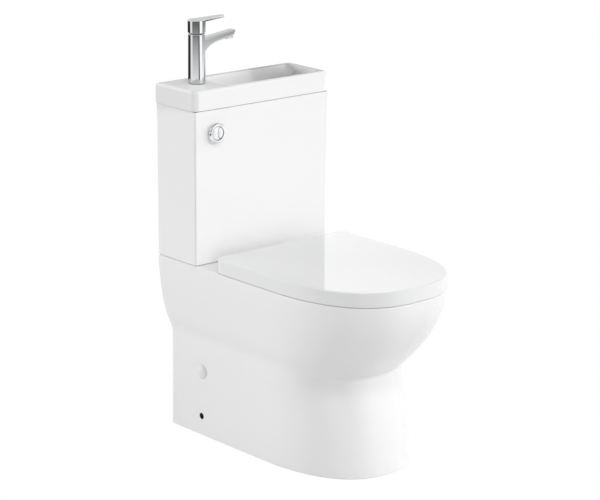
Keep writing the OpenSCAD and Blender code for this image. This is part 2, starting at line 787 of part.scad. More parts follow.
// Face shapes stand in the XZ plane and are pushed along Y from front to back.
module standing(y0, y1) {
  translate([0, y1, 0]) rotate([90, 0, 0]) linear_extrude(y1 - y0) children();
}

module flush_bezel() {
  front = -cistern_d - bezel_out;
  color("silver") at_button() difference() {
    union() {
      bar_y(front + 1.2, -cistern_d - 0.3, bezel_r);
      translate([0, front, 0]) rotate([-90, 0, 0]) cylinder(r1 = bezel_r - 1.5, r2 = bezel_r, h = 1.2);
      bar_y(-cistern_d - 0.5, -housing_y0, sleeve_r);
    }
    bar_y(front - 1, -housing_y0 + 1, face_r);
    // two grooves round the bezel's side
    for (y = [2.2, 5]) translate([0, front + y, 0]) rotate([-90, 0, 0])
      rotate_extrude() translate([bezel_r - 0.6, 0]) square([3, 1]);
  }
}

module bezel_locknut() {
  color("whitesmoke") at_button() difference() {
    translate([0, -cistern_d + cistern_wall + 7.4, 0]) rotate([90, 0, 0]) hexagon(50, 6);
    bar_y(-cistern_d, -cistern_d + cistern_wall + 10, sleeve_r);
  }
}

module button_housing() {
  depth = housing_y0 - housing_y1;
  color("whitesmoke") at_button() difference() {
    union() {
      bar_y(-housing_y0, -housing_y1, housing_r);
      for (z = [-3, -13]) translate([0, -housing_y1 - 8, z]) bar_x(housing_r - 6, housing_r + 6, 2);
    }
    for (s = [-1, 1]) translate([s * stem_offset, 0, 0]) {
      bar_y(-housing_y0 - 1, -housing_y1 - 6, spring_r + 1.2);
    }
  }
}

// A button face with the stem behind it; s is the stem's side.
module button_stem(s) {
  translate([s * stem_offset, 0, 0]) {
    bar_y(-cistern_d - bezel_out + 3, -housing_y0 + 14, 3);
    bar_y(-housing_y0 + 2, -housing_y0 + 4, spring_r + 0.6);
  }
}

module full_flush_button() {
  color("silver") at_button() {
    difference() {
      standing(-cistern_d - bezel_out + 0.6, -cistern_d - bezel_out + 4.6) circle(r = face_r - 0.35, $fn = 96);
      standing(-cistern_d - bezel_out - 1, -cistern_d - bezel_out + 6) lens(0.5);
    }
    button_stem(-1);
  }
}

module half_flush_button() {
  color("silver") at_button() {
    standing(-cistern_d - bezel_out + 0.6, -cistern_d - bezel_out + 4.6) lens(0);
    button_stem(1);
  }
}

// Coil along +Y as one tube with flat ends.
module coil(length) {
  rounds = 16;
  sides = 6;
  steps = spring_turns * rounds;
  pitch = (length - 2 * wire_r) / spring_turns;
  points = [for (i = [0 : steps], k = [0 : sides - 1])
    let (a = 360 * i / rounds, b = 360 * k / sides, r = spring_r - wire_r + wire_r * cos(b))
    [r * cos(a), wire_r + pitch * i / rounds + wire_r * sin(b), r * sin(a)]];
  polyhedron(points = points, convexity = 10, faces = concat(
    [[for (k = [sides - 1 : -1 : 0]) k]],
    [[for (k = [0 : sides - 1]) steps * sides + k]],
    [for (i = [0 : steps - 1], k = [0 : sides - 1])
      let (p = i * sides + k, q = i * sides + (k + 1) % sides) [p, q, q + sides]],
    [for (i = [0 : steps - 1], k = [0 : sides - 1])
      let (p = i * sides + k, q = i * sides + (k + 1) % sides) [p, q + sides, p + sides]]));
}

module button_spring(s) {
  y0 = -housing_y0 + 4.2;
  y1 = -housing_y1 - 6.2;
  color("silver") at_button() translate([s * stem_offset, y0, 0]) coil(y1 - y0);
}

module full_button_spring() {
  button_spring(-1);
}

module half_button_spring() {
  button_spring(1);
}

// Two air tubes from the button's bellows over the partition to the flush valve.
module air_tubes() {
  color("lightblue") at_button() for (z = [-3, -13]) translate([0, -housing_y1 - 8, z]) difference() {
    bar_x(housing_r + 0.2, button_x - actuator_r + 1.5, 3);
    bar_x(housing_r - 1, button_x - actuator_r + 6, 2);
  }
}

// ---------- flush valve ----------

module at_valve(z) {
  translate([0, -valve_y, z]) children();
}

module flush_valve_body() {
  color("whitesmoke") difference() {
    union() {
      at_valve(tank_floor_z) cylinder(r = inlet_r + 9, h = 4);
      at_valve(rim_h - 10) cylinder(r = inlet_r, h = tank_floor_z - rim_h + 12);
      at_valve(tank_floor_z) cylinder(r = inlet_r + tower_wall, h = tower_h);
    }
    at_valve(rim_h - 12) cylinder(r = inlet_r - tower_wall, h = tank_floor_z - rim_h + 20);
    at_valve(tank_floor_z + 6) cylinder(r = inlet_r + 0.5, h = tower_h - 12);
    at_valve(flush_tower_z - 10) cylinder(r = piston_r + 1, h = 20);
    // windows that let the water in
    for (a = [0 : 60 : 300]) at_valve(tank_floor_z + 12) rotate(a + 30)
      translate([inlet_r - 4, -window_w / 2, 0]) cube([12, window_w, window_h]);
  }
}

module flush_valve_backnut() {
  color("whitesmoke") at_valve(rim_h - 9) ring(inlet_r + 6, inlet_r, 9.6);
}

// Two-chamber air actuator on top of the valve.
module flush_actuator() {
  color("whitesmoke") {
    difference() {
      union() {
        at_valve(actuator_top - actuator_h) cylinder(r = actuator_r, h = actuator_h);
        for (s = [-1, 1]) translate([s * (actuator_r + 1), -valve_y, flush_tower_z])
          translate([-2.5, -6, 0]) cube([5, 12, actuator_top - 20 - flush_tower_z]);
      }
      at_valve(actuator_top - actuator_h - 8) cylinder(r = piston_r + 1.5, h = actuator_h);
    }
    for (z = [-3, -13]) translate([-button_x, -housing_y1 - 8, button_z + z])
      bar_x(button_x - actuator_r - 4, button_x - actuator_r + 8, 2);
  }
}

// Overflow tube that is also the valve's piston.
module flush_piston() {
  color("steelblue") difference() {
    union() {
      at_valve(tank_floor_z + 7.3) cylinder(r = piston_r, h = actuator_top - 20 - valve_travel - tank_floor_z);
      at_valve(tank_floor_z + 7.3) cylinder(r = inlet_r - 1, h = 4);
      at_valve(flush_tower_z - valve_travel - 24) ring(piston_r + 4, piston_r - 1, 6);
    }
    at_valve(tank_floor_z) cylinder(r = piston_r - 2, h = actuator_top - tank_floor_z);
  }
}

module flush_seal() {
  color("firebrick") at_valve(tank_floor_z + 6.3) ring(inlet_r - 0.5, piston_r - 1, 1);
}

module doughnut_washer() {
  color("dimgray") at_valve(rim_h - 14) ring(inlet_r + 9.7, inlet_r + 0.3, 4.8);
}

// ---------- close coupling ----------

module coupling_bolts() {
  color("silver") for (x = [-bolt_x, bolt_x]) translate([x, -valve_y, 0]) {
    translate([0, 0, tank_floor_z + 3]) hexagon(13, 5.5);
    translate([0, 0, rim_h - deck_t - 26]) cylinder(r = bolt_r, h = tank_floor_z + 4 - rim_h + deck_t + 26);
  }
}

module coupling_washers() {
  color("dimgray") for (x = [-bolt_x, bolt_x]) translate([x, -valve_y, tank_floor_z]) ring(11, bolt_r, 3);
}

module coupling_wingnuts() {
  nut_h = 12;
  wings = [4, 34, 9];
  color("whitesmoke") for (x = [-bolt_x, bolt_x])
    translate([x, -valve_y, rim_h - deck_t - nut_h]) difference() {
      union() {
        cylinder(r = 2 * bolt_r, h = nut_h);
        translate([-wings[0] / 2, -wings[1] / 2, 0]) cube(wings);
      }
      translate([0, 0, -1]) cylinder(r = bolt_r, h = nut_h + 2);
    }
}

// ---------- fill valve ----------

module at_fill(z) {
  translate([fill_x, -valve_y, z]) children();
}

module fill_valve_body() {
  color("whitesmoke") difference() {
    union() {
      at_fill(rim_h - 46) cylinder(r = fill_tail_r, h = 40);
      at_fill(rim_h - 14) cylinder(r = fill_shank_r, h = tank_floor_z - rim_h + 16);
      at_fill(tank_floor_z) cylinder(r = 17, h = 5);
      at_fill(tank_floor_z) cylinder(r = 9, h = fill_head_z - tank_floor_z);
      at_fill(float_z - 8) cylinder(r = 13, h = 7.7);
    }
    at_fill(rim_h - 47) cylinder(r = 5, h = fill_head_z - rim_h + 60);
  }
}

module fill_valve_head() {
  color("steelblue") at_fill(fill_head_z) {
    cylinder(r = 17, h = 22);
    translate([0, 0, 22]) cylinder(r1 = 15, r2 = 12, h = 6);
    translate([0, 0, 11]) bar_x(-26, -10, 4);
  }
}

// Cup float that slides on the valve's column.
module fill_valve_float() {
  color("gray") at_fill(float_z) difference() {
    cylinder(r = 24, h = float_h);
    translate([0, 0, -1]) cylinder(r = 9 + 2 * run_fit, h = float_h + 2);
    translate([0, 0, -1]) ring(21.5, 12, float_h - 6);
  }
}

module fill_valve_backnut() {
  color("whitesmoke") at_fill(rim_h - 12) difference() {
    hexagon(32, 12.6);
    translate([0, 0, -1]) cylinder(r = fill_shank_r, h = 15);
  }
}

// ---------- seat, lid and hinges ----------

module at_hinge(s) {
  translate([s * hinge_x, -hinge_y, hinge_z]) children();
}

module hinge_blocks() {
  half = knuckle_w / 2;
  color("silver") for (s = [-1, 1]) at_hinge(s) difference() {
    union() {
      bar_x(-half, half, knuckle_r);
      translate([-half, -5, -hinge_h + 1]) cube([knuckle_w, 10, hinge_h - 1]);
      translate([0, 0, -hinge_h]) cylinder(r = hinge_base_r, h = 2.4);
    }
    bar_x(-half - 1, half + 1, hinge_pin_r);
    translate([0, 0, -hinge_h - 1]) cylinder(r = seat_bolt_r, h = 5);
  }
}

module hinge_pins() {
  reach = knuckle_w * 1.5 + knuckle_gap;
  color("silver") for (s = [-1, 1]) at_hinge(s) bar_x(-reach, reach, hinge_pin_r);
}

module hinge_bolts() {
  color("silver") for (s = [-1, 1]) at_hinge(s) translate([0, 0, -hinge_h - deck_t - 20])
    cylinder(r = seat_bolt_r, h = deck_t + 24);
}

module hinge_nuts() {
  color("whitesmoke") for (s = [-1, 1]) at_hinge(s)
    translate([0, 0, -hinge_h - deck_t - seat_nut_h]) ring(seat_bolt_hole_r + 4, seat_bolt_r, seat_nut_h);
}

// Knuckle on the pin: side is -1 for the one nearer the middle, 1 for the outer one.
module knuckle(s, side) {
  x0 = side * s > 0 ? knuckle_w / 2 + knuckle_gap : -knuckle_w * 1.5 - knuckle_gap;
  at_hinge(s) translate([x0, 0, 0]) children();
}

module knuckle_bores(side) {
  for (s = [-1, 1]) knuckle(s, side) bar_x(-1, knuckle_w + 1, hinge_pin_r + run_fit);
}

module seat() {
  half = lid_half - seat_in;
  front_y = projection - seat_in;
  round_r = 5;
  open_y0 = seat_back_y + 56;
  open_y1 = front_y - 66;
  color("white") difference() {
    union() {
      loft(concat(
        [d_ring(half - 1, seat_back_y + 1, rim_straight_y, front_y - 1, pan_power, 18, seat_z0),
         d_ring(half, seat_back_y, rim_straight_y, front_y, pan_power, 18, seat_z0 + 2)],
        [for (a = [0, 30, 60, 90]) d_ring(
          half - round_r * (1 - cos(a)), seat_back_y + round_r * (1 - cos(a)), rim_straight_y,
          front_y - round_r * (1 - cos(a)), pan_power, 18, seat_z1 - round_r + round_r * sin(a))]));
      for (s = [-1, 1]) knuckle(s, -1) {
        bar_x(0, knuckle_w, knuckle_r);
        translate([0, -22, -6]) cube([knuckle_w, 22, 8]);
      }
    }
    loft(concat(
      [d_ring(seat_open_w - 4, open_y0 + 4, open_y1 - 150, open_y1 - 4, 2.3, 50, seat_z0 - 1)],
      [for (a = [90, 60, 30, 0]) d_ring(
        seat_open_w + 7 * (1 - cos(90 - a)) - 4, open_y0 - 7 * (1 - cos(90 - a)) + 4, open_y1 - 150,
        open_y1 + 7 * (1 - cos(90 - a)) - 4, 2.3, 50, seat_z1 - 7 * (1 - sin(90 - a)))],
      [d_ring(seat_open_w + 3, open_y0 - 3, open_y1 - 150, open_y1 + 3, 2.3, 50, seat_z1 + 1)]));
    knuckle_bores(-1);
  }
}

module seat_buffers() {
  h = seat_z0 - rim_h - seat_fit;
  color("gray") both_sides() for (p = [[seat_ring_x, back_buffer_y], [seat_ring_x - ring_turn_in, front_buffer_y]])
    translate([p[0], -p[1], seat_z0 - h]) hull() {
      translate([0, -buffer_r, 0]) cylinder(r = buffer_r, h = h, $fn = 32);
      translate([0, buffer_r, 0]) cylinder(r = buffer_r, h = h, $fn = 32);
    }
}

module lid() {
  round_r = 3;
  top_inside = lid_z1 - lid_wall;
  inner_half = lid_half - lid_wall;
  inner_front = projection - lid_wall;
  color("white") difference() {
    union() {
      difference() {
        loft(concat(
          [d_ring(lid_half - 0.6, lid_back_y + 0.6, rim_straight_y, projection - 0.6, pan_power, lid_corner, lid_z0),
           d_ring(lid_half, lid_back_y, rim_straight_y, projection, pan_power, lid_corner, lid_z0 + 0.6)],
          [for (a = [0, 30, 60, 90]) d_ring(
            lid_half - round_r * (1 - cos(a)), lid_back_y + round_r * (1 - cos(a)), rim_straight_y,
            projection - round_r * (1 - cos(a)), pan_power, lid_corner, lid_z1 - round_r + round_r * sin(a))]));
        loft([d_ring(inner_half, lid_back_y + 4, rim_straight_y, inner_front, pan_power, lid_corner - 4, lid_z0 - 1),
              d_ring(inner_half, lid_back_y + 4, rim_straight_y, inner_front, pan_power, lid_corner - 4, top_inside)]);
        // cut-outs in the back wall for the hinges
        for (s = [-1, 1]) translate([s * hinge_x - hinge_slot, -lid_back_y - 12, lid_z0 - 2])
          cube([2 * hinge_slot, 14, top_inside - lid_z0 + 2]);
      }
      for (s = [-1, 1]) knuckle(s, 1) {
        bar_x(0, knuckle_w, knuckle_r);
        translate([0, -knuckle_r, 0]) cube([knuckle_w, 2 * knuckle_r - 3, top_inside - hinge_z + 1]);
      }
    }
    knuckle_bores(1);
  }
}

module lid_buffers() {
  h = lid_z1 - lid_wall - seat_z1 - seat_fit;
  x = seat_ring_x - lid_buffer_in;
  color("gray") both_sides() for (p = [[x, back_buffer_y + lid_buffer_step], [x - ring_turn_in, front_buffer_y]])
    translate([p[0], -p[1], seat_z1 + seat_fit]) cylinder(r = buffer_r, h = h);
}

placed() pan();
placed() side_covers();
placed() cistern_pad();
placed() cistern();
placed() basin_gasket();
placed() basin();
placed() basin_waste();
placed() waste_washer();
placed() waste_backnut();
placed() waste_tailpipe();
placed() tap_base_seal();
placed() tap_body();
placed() tap_aerator();
placed() tap_cartridge();
placed() tap_carrier();
placed() tap_stem();
placed() tap_lever();
placed() tap_washer();
placed() tap_backnut();
placed() tap_tails();
placed() tail_nuts();
placed() flush_bezel();
placed() bezel_locknut();
placed() button_housing();
placed() full_flush_button();
placed() half_flush_button();
placed() full_button_spring();
placed() half_button_spring();
placed() air_tubes();
placed() flush_valve_body();
placed() flush_valve_backnut();
placed() flush_actuator();
placed() flush_piston();
placed() flush_seal();
placed() doughnut_washer();
placed() coupling_bolts();
placed() coupling_washers();
placed() coupling_wingnuts();
placed() fill_valve_body();
placed() fill_valve_head();
placed() fill_valve_float();
placed() fill_valve_backnut();
placed() hinge_blocks();
placed() hinge_pins();
placed() hinge_bolts();
placed() hinge_nuts();
placed() seat();
placed() seat_buffers();
placed() lid();
placed() lid_buffers();
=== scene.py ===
# Close-coupled toilet with a hand basin on its cistern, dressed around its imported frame.
# The sections follow the way in which the real one is put together, from the floor up.
import math

import bpy
from mathutils import Matrix, Vector


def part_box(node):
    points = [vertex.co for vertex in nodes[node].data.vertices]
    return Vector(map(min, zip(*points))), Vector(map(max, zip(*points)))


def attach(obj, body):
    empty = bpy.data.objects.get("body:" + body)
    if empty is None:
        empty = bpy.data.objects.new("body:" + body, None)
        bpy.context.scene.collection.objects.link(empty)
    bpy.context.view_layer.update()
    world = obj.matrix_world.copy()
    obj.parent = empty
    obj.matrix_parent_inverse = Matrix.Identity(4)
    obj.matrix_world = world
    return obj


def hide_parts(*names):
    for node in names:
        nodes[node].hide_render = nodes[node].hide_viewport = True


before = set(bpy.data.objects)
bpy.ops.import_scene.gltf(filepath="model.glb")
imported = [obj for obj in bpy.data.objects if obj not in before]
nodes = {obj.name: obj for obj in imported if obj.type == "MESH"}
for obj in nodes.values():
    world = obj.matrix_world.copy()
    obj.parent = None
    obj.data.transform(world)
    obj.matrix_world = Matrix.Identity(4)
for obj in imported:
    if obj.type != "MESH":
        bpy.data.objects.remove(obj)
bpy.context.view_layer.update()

# ---------- camera ----------
# A long lens looks at the left front of the toilet from a little above its top.
scene = bpy.context.scene
scene.view_settings.view_transform = "Standard"
camera_turn, camera_rise, camera_roll = (math.radians(a) for a in (-41.231, 15.771, 0.501))
camera_aim = Vector((0, 0.0165, 0.4))
camera_far = 5.0892
bpy.ops.object.camera_add()
camera = bpy.context.object
camera_place = camera_aim + camera_far * Vector((
    math.sin(camera_turn) * math.cos(camera_rise),
    -math.cos(camera_turn) * math.cos(camera_rise),
    math.sin(camera_rise)))
camera.matrix_world = (
    Matrix.Translation(camera_place)
    @ Matrix.Rotation(camera_turn, 4, "Z")
    @ Matrix.Rotation(math.pi / 2 - camera_rise, 4, "X")
    @ Matrix.Rotation(camera_roll, 4, "Z"))
camera.data.lens = 141.71
camera.data.sensor_width = 36
camera.data.shift_x = -0.0197
camera.data.shift_y = 0.03025
camera.data.clip_end = 40
scene.camera = camera


# ---------- studio ----------
# A white room without corners, dim overhead and behind the camera. Broad lamps stand low at the
# back left and at the right, with weaker ones at three heights over the front.
class Value:
    """One output of a node. Sums and products of values add Math nodes to its tree."""

    def __init__(self, tree, socket=None):
        self.tree, self.socket = tree, socket

    def add(self, kind, settings=None, inputs=None, output=0):
        """Adds a node, first its settings and then its sockets, and gives one of its outputs."""
        node = self.tree.nodes.new("ShaderNode" + kind)
        for name, setting in (settings or {}).items():
            if name == "stops":
                ramp = node.color_ramp.elements
                while len(ramp) < len(setting):
                    ramp.new(1)
                for stop, (position, shade) in zip(ramp, setting):
                    stop.position, stop.color = position, (shade, shade, shade, 1)
            else:
                setattr(node, name, setting)
        for name, given in (inputs or {}).items():
            if isinstance(given, Value):
                self.tree.links.new(given.socket, node.inputs[name])
            else:
                node.inputs[name].default_value = given
        return Value(self.tree, node.outputs[output] if node.outputs else None)

    def other(self, output):
        return Value(self.tree, self.socket.node.outputs[output])

    def math(self, operation, *values):
        return self.add("Math", {"operation": operation}, dict(enumerate(values)))

    def __add__(self, other):
        return self.math("ADD", self, other)

    def __mul__(self, other):
        return self.math("MULTIPLY", self, other)

    __radd__, __rmul__ = __add__, __mul__

    def between(self, start, end, kind="LINEAR"):
        """From 0 to 1 as this value goes from the start to the end."""
        return self.add("MapRange", {"interpolation_type": kind}, {0: self, 1: start, 2: end})

    def blend(self, first, second):
        """Mixes two colours: the first where this value is 0, the second where it is 1."""
        return self.add("Mix", {"data_type": "RGBA"}, {0: self, 6: first, 7: second}, output=2)

    def into(self, node, name):
        self.tree.links.new(self.socket, node.inputs[name])

    def bump(self, shader, strength, distance):
        """Takes this value as the height of a shader's surface."""
        self.add("Bump", {}, {"Height": self, "Strength": strength, "Distance": distance}).into(
            shader, "Normal")


def bare_tree(owner):
    """Empties the nodes of a world or a material, and gives a value to add the new ones from."""
    owner.use_nodes = True
    owner.node_tree.nodes.clear()
    return Value(owner.node_tree)


def greys(share, *stops):
    """A grey for each value of a share, from stops of (value, grey)."""
    return share.add("ValToRGB", {"stops": stops}, {0: share})


def panel_ring(spot, stops):
    """Brightness by compass direction of a spot; stops are (degrees from +X, shade)."""
    toward = spot.add("SeparateXYZ", {}, {0: spot})
    turn = spot.math("ARCTAN2", toward.other(1), toward) * (0.5 / math.pi) + 0.5
    return greys(turn, *((a / 360 + 0.5, shade) for a, shade in stops))


white = (1, 1, 1, 1)
world = bpy.data.worlds.new("studio")
scene.world = world
room = bare_tree(world)
room_light = 0.42
low_panels = [(-180, 0.08), (-105, 0.08), (-93, 0.6), (-70, 0.75), (-57, 1.1), (140, 1.1),
              (158, 0.08)]
high_panels = [(-180, 0.9), (-60, 1.0), (10, 1.0), (49, 1.65), (90, 1.2), (180, 0.9)]
horizon, ceiling, ceiling_tone = (-0.06, 0.10), (0.55, 0.7), (0.15, 0.15, 0.15, 1)
gaze = room.add("TexCoord")
upward = room.add("SeparateXYZ", {}, {0: gaze}).other(2)
panels = upward.between(*horizon, "SMOOTHSTEP").blend(
    panel_ring(gaze, low_panels), panel_ring(gaze, high_panels))
panels = upward.between(*ceiling, "SMOOTHSTEP").blend(panels, ceiling_tone)
ray = room.add("LightPath")
backdrop = room.math("MAXIMUM", ray.other("Is Camera Ray"), ray.other("Is Transmission Ray"))
unlit = room.add("Background", {}, {0: white, 1: room_light})
shown = room.add("Background", {}, {0: white, 1: 1.0})
mirrored = room.add("Background", {}, {0: panels, 1: 1.0})
lit = room.add("MixShader", {}, {0: ray.other("Is Glossy Ray"), 1: unlit, 2: mirrored})
room.add("OutputWorld", {}, {0: room.add("MixShader", {}, {0: backdrop, 1: lit, 2: shown})})


def lamp(name, azimuth, height, strength, spread):
    """A far lamp at an azimuth from the front and a height above the horizon, in degrees."""
    bpy.ops.object.light_add(type="SUN", rotation=(
        math.radians(90 - height), 0, math.radians(azimuth)))
    made = bpy.context.object
    made.name = name
    made.data.energy = strength
    made.data.angle = math.radians(spread)
    made.visible_glossy = False


lamp("left_lamp", -150, 8, 1.9, 30)
lamp("right_lamp", 66, 8, 1.5, 30)
lamp("front_lamp", -30, 8, 0.75, 30)
lamp("high_lamp", 30, 35, 0.4, 25)
lamp("small_lamp", -11, 58, 0.6, 8)

# The floor is white to the eye, and gives the object a pale bounce from below. In what shines it
# is white near the object and runs out into the room's panels.
floor_r, floor_fade = 2.4, 1.2
bpy.ops.mesh.primitive_circle_add(vertices=96, radius=floor_r, fill_type="NGON")
floor = bpy.context.object
floor.name = "studio_floor"
floor_paint = bpy.data.materials.new("studio_floor")
paint = bare_tree(floor_paint)
ray = paint.add("LightPath")
spot = paint.add("TexCoord", output=3)
out = paint.add("VectorMath", {"operation": "LENGTH"}, {0: spot}, output=1)
out = out.between(floor_fade, floor_r, "SMOOTHSTEP")
mirror_tone = (out * ray.other("Is Glossy Ray")).blend(white, panel_ring(spot, low_panels))
seen = paint.math("MAXIMUM", ray.other("Is Camera Ray"), paint.math(
    "MAXIMUM", ray.other("Is Glossy Ray"), ray.other("Is Transmission Ray")))
pale = paint.add("BsdfDiffuse", {}, {"Color": (0.7, 0.7, 0.7, 1)})
glow = paint.add("Emission", {}, {"Color": mirror_tone, "Strength": 1.0})
paint.add("OutputMaterial", {}, {0: paint.add("MixShader", {}, {0: seen, 1: pale, 2: glow})})
floor.data.materials.append(floor_paint)

# ---------- pan ----------
# One casting of vitreous china, glazed white: rim, bowl, trap, deck and skirted foot. It stands
# against the wall and is screwed down through the two holes low in its sides.
mm = 0.001
pan_low, pan_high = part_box("pan")
wall_y = pan_high.y / mm
rim_z = pan_high.z / mm
rim_half = pan_high.x / mm
rim_front = (pan_high.y - pan_low.y) / mm
neck_z = 210
neck_half, neck_front = rim_half - 37.5, rim_front - 120
foot_half, foot_front = neck_half + 1.5, neck_front + 39
rim_straight, neck_straight, foot_straight = rim_front - 272, neck_front - 171, foot_front - 246
neck_power, power_rise, pan_flare, pan_crease, pan_corner = 2.4, 0.2, 1.9, 0.15, 2.5
pan_wall, deck_t, bowl_wall = 13, 18, 10
trap_r, trap_wall, trap_bend, trap_foot, weir_rise = 28, 9, 45, 85, 13
outlet_z, spigot_r, spigot_wall, spigot_l, spigot_in = 180, 51, 8, 48, 12
sump_depth, sump_z = 402, 150
inlet_r, inlet_seat_r, channel_r, channel_drop, channel_end = 26, 36, 14, 34, 254
channel_wall = 8
cistern_depth = 135
valve_depth = cistern_depth / 2
quarter = [math.radians(15 * i) for i in range(7)]


def place(x, depth, z):
    """A point given in millimetres from the middle, the wall and the floor."""
    return (x * mm, (wall_y - depth) * mm, z * mm)


def middle(node):
    """The middle of a node's box, in the same millimetres."""
    low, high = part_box(node)
    spot = (low + high) / 2 / mm
    return spot.x, wall_y - spot.y, spot.z


def rounded(radius):
    """A round edge from an upright side to a flat top, as steps of (distance in, distance down)."""
    return [(radius * (1 - math.cos(a)), radius * (1 - math.sin(a))) for a in quarter]


def loft(name, rings):
    """Skins a closed piece through rings of points; the first and last ring are its flat ends."""
    bpy.ops.object.select_all(action="DESELECT")
    bpy.ops.mesh.primitive_grid_add(x_subdivisions=len(rings[0]), y_subdivisions=len(rings) - 1)
    piece = bpy.context.object
    piece.name = piece.data.name = name
    corners = [point for ring in rings for point in ring + ring[:1]]
    for vertex, corner in zip(piece.data.vertices, corners):
        vertex.co = corner
    bpy.ops.object.mode_set(mode="EDIT")
    bpy.ops.mesh.select_all(action="SELECT")
    bpy.ops.mesh.remove_doubles(threshold=0.01 * mm)
    bpy.ops.mesh.select_all(action="DESELECT")
    bpy.ops.mesh.select_non_manifold()
    bpy.ops.mesh.fill_holes(sides=0)
    bpy.ops.mesh.select_all(action="SELECT")
    bpy.ops.mesh.normals_make_consistent(inside=False)
    bpy.ops.object.mode_set(mode="OBJECT")
    return piece


def d_ring(half, back, straight, front, power, corner, z, bow=72, side=8, turn=6):
    """Points round a D at height z: superellipse front, straight sides, two back corners."""
    outline = []
    for i in range(bow + 1):
        c, s = math.cos(math.pi * (1 - i / bow)), math.sin(math.pi * (1 - i / bow))
        r = (abs(c) ** power + abs(s) ** power) ** (-1 / power)
        outline.append((half * r * c, straight + (front - straight) * r * s))
    for sign in (1, -1):
        run = [(sign * half, straight + (back + corner - straight) * i / side)
               for i in range(1, side)]
        bend = [math.radians(90 * i / turn) for i in range(turn + 1)]
        bend = [(sign * (half - corner + corner * math.cos(a)),
                 back + corner - corner * math.sin(a)) for a in bend]
        outline += run + bend if sign > 0 else (run + bend)[::-1]
    return [place(x, depth, z) for x, depth in outline]


def rod(name, radius, start, end, sides=64):
    """A round bar or bore between two places."""
    start, end = Vector(place(*start)), Vector(place(*end))
    bpy.ops.object.select_all(action="DESELECT")
    bpy.ops.mesh.primitive_cylinder_add(
        vertices=sides, radius=radius * mm, depth=(end - start).length,
        location=(start + end) / 2, rotation=(end - start).to_track_quat("Z", "Y").to_euler())
    bpy.ops.object.transform_apply()
    bpy.context.object.name = bpy.context.object.data.name = name
    return bpy.context.object


def block(name, low, high):
    """A box between two places."""
    low, high = Vector(place(*low)), Vector(place(*high))
    bpy.ops.object.select_all(action="DESELECT")
    bpy.ops.mesh.primitive_cube_add(
        size=1, location=(low + high) / 2, scale=[abs(side) for side in high - low])
    bpy.ops.object.transform_apply()
    bpy.context.object.name = bpy.context.object.data.name = name
    return bpy.context.object


def join(piece, other, operation="UNION"):
    """Joins, cuts or intersects a closed piece with another one, which is used up."""
    modifier = piece.modifiers.new("join", "BOOLEAN")
    modifier.operation, modifier.object, modifier.solver = operation, other, "MANIFOLD"
    bpy.ops.object.select_all(action="DESELECT")
    bpy.context.view_layer.objects.active = piece
    bpy.ops.object.modifier_apply(modifier=modifier.name)
    bpy.data.objects.remove(other)
    return piece


def cut(piece, *tools):
    for tool in tools:
        join(piece, tool, "DIFFERENCE")


def smooth(piece, angle=30):
    """Smooth shading up to an angle, with the large faces kept flat."""
    bpy.ops.object.select_all(action="DESELECT")
    piece.select_set(True)
    bpy.context.view_layer.objects.active = piece
    bpy.ops.object.shade_smooth_by_angle(angle=math.radians(angle))
    weigh = piece.modifiers.new("weigh", "WEIGHTED_NORMAL")
    weigh.keep_sharp = True
    bpy.ops.object.modifier_apply(modifier=weigh.name)
    return piece


def pan_ring(z, inset=0, back=0, height=None):
    """The pan's outline at z, drawn in by an inset, and laid at another height if one is given."""
    t = max(0, (z - neck_z) / (rim_z - neck_z))
    s = min(1, z / neck_z)
    full = 1 - (1 - t) ** pan_flare
    if t > 0:
        half = neck_half + (rim_half - neck_half) * full * (1 - math.exp(-((t / pan_crease) ** 2)))
        front = neck_front + (rim_front - neck_front) * full
        straight = neck_straight + (rim_straight - neck_straight) * t
    else:
        half = foot_half + (neck_half - foot_half) * s
        front = foot_front + (neck_front - foot_front) * s
        straight = foot_straight + (neck_straight - foot_straight) * s
    return d_ring(half - inset, back, straight, front - inset, neck_power + power_rise * t,
                  pan_corner, z if height is None else height)


def eased_pan_ring(z, reach=3):
    """The pan's outline with its crease rounded: the mean of the outlines just above and below."""
    rings = [pan_ring(min(rim_z, max(0, z + reach * i / 2))) for i in range(-2, 3)]
    return [(sum(p[0] for p in points) / 5, sum(p[1] for p in points) / 5, z * mm)
            for points in zip(*rings)]


rim_round = 3
pan_levels = [3, 30, 60, 90, 120, 150, 175, 190] + [198 + 2 * i for i in range(14)]
pan_levels += [230 + 8 * i for i in range(20)] + [rim_z - rim_round - 2, rim_z - rim_round]
pan = loft("pan_china", [pan_ring(0, 4, 2.5, 0), pan_ring(0, 1.5, 1, 0), pan_ring(1.5)]
           + [eased_pan_ring(z) for z in pan_levels]
           + [pan_ring(rim_z, inset, inset, rim_z - down) for inset, down in rounded(rim_round)[1:]]
           + [pan_ring(rim_z, rim_round + 2, rim_round + 2)])
hollow_levels = [0, 70, 140, 210, 230, 260, 290, 320, 350, rim_z - deck_t]
cut(pan, loft("hollow", [pan_ring(0, pan_wall, -20, -2)]
              + [pan_ring(z, pan_wall, -20) for z in hollow_levels]))


rim_side, rim_back, rim_nose = 55, 252, 40
back_share, front_share = 0.56, 0.44
bowl_fall, bowl_power, bowl_lip = 1.8, 2.35, 7
bowl_levels = [1 - i / 30 for i in range(30)]
bowl_depth = rim_z - sump_z


def bowl_ring(u, wall, z):
    """The bowl's inside at a share u of its depth, or its outside when there is a wall."""
    s = u ** bowl_fall
    half = (rim_half - rim_side) * (1 - s) + trap_r * s + wall
    back = rim_back * (1 - s) + (sump_depth - trap_r) * s - wall
    front = (rim_front - rim_nose) * (1 - s) + (sump_depth + trap_r) * s + wall
    centre = (back * back_share + front * front_share) * (1 - s) + sump_depth * s
    points, steps = [], 96
    for i in range(steps):
        c, d = math.cos(2 * math.pi * i / steps), -math.sin(2 * math.pi * i / steps)
        r = (abs(c) ** bowl_power + abs(d) ** bowl_power) ** (-1 / bowl_power)
        reach = front - centre if d > 0 else centre - back
        points.append(place(half * r * c, centre + reach * r * d, z))
    return points


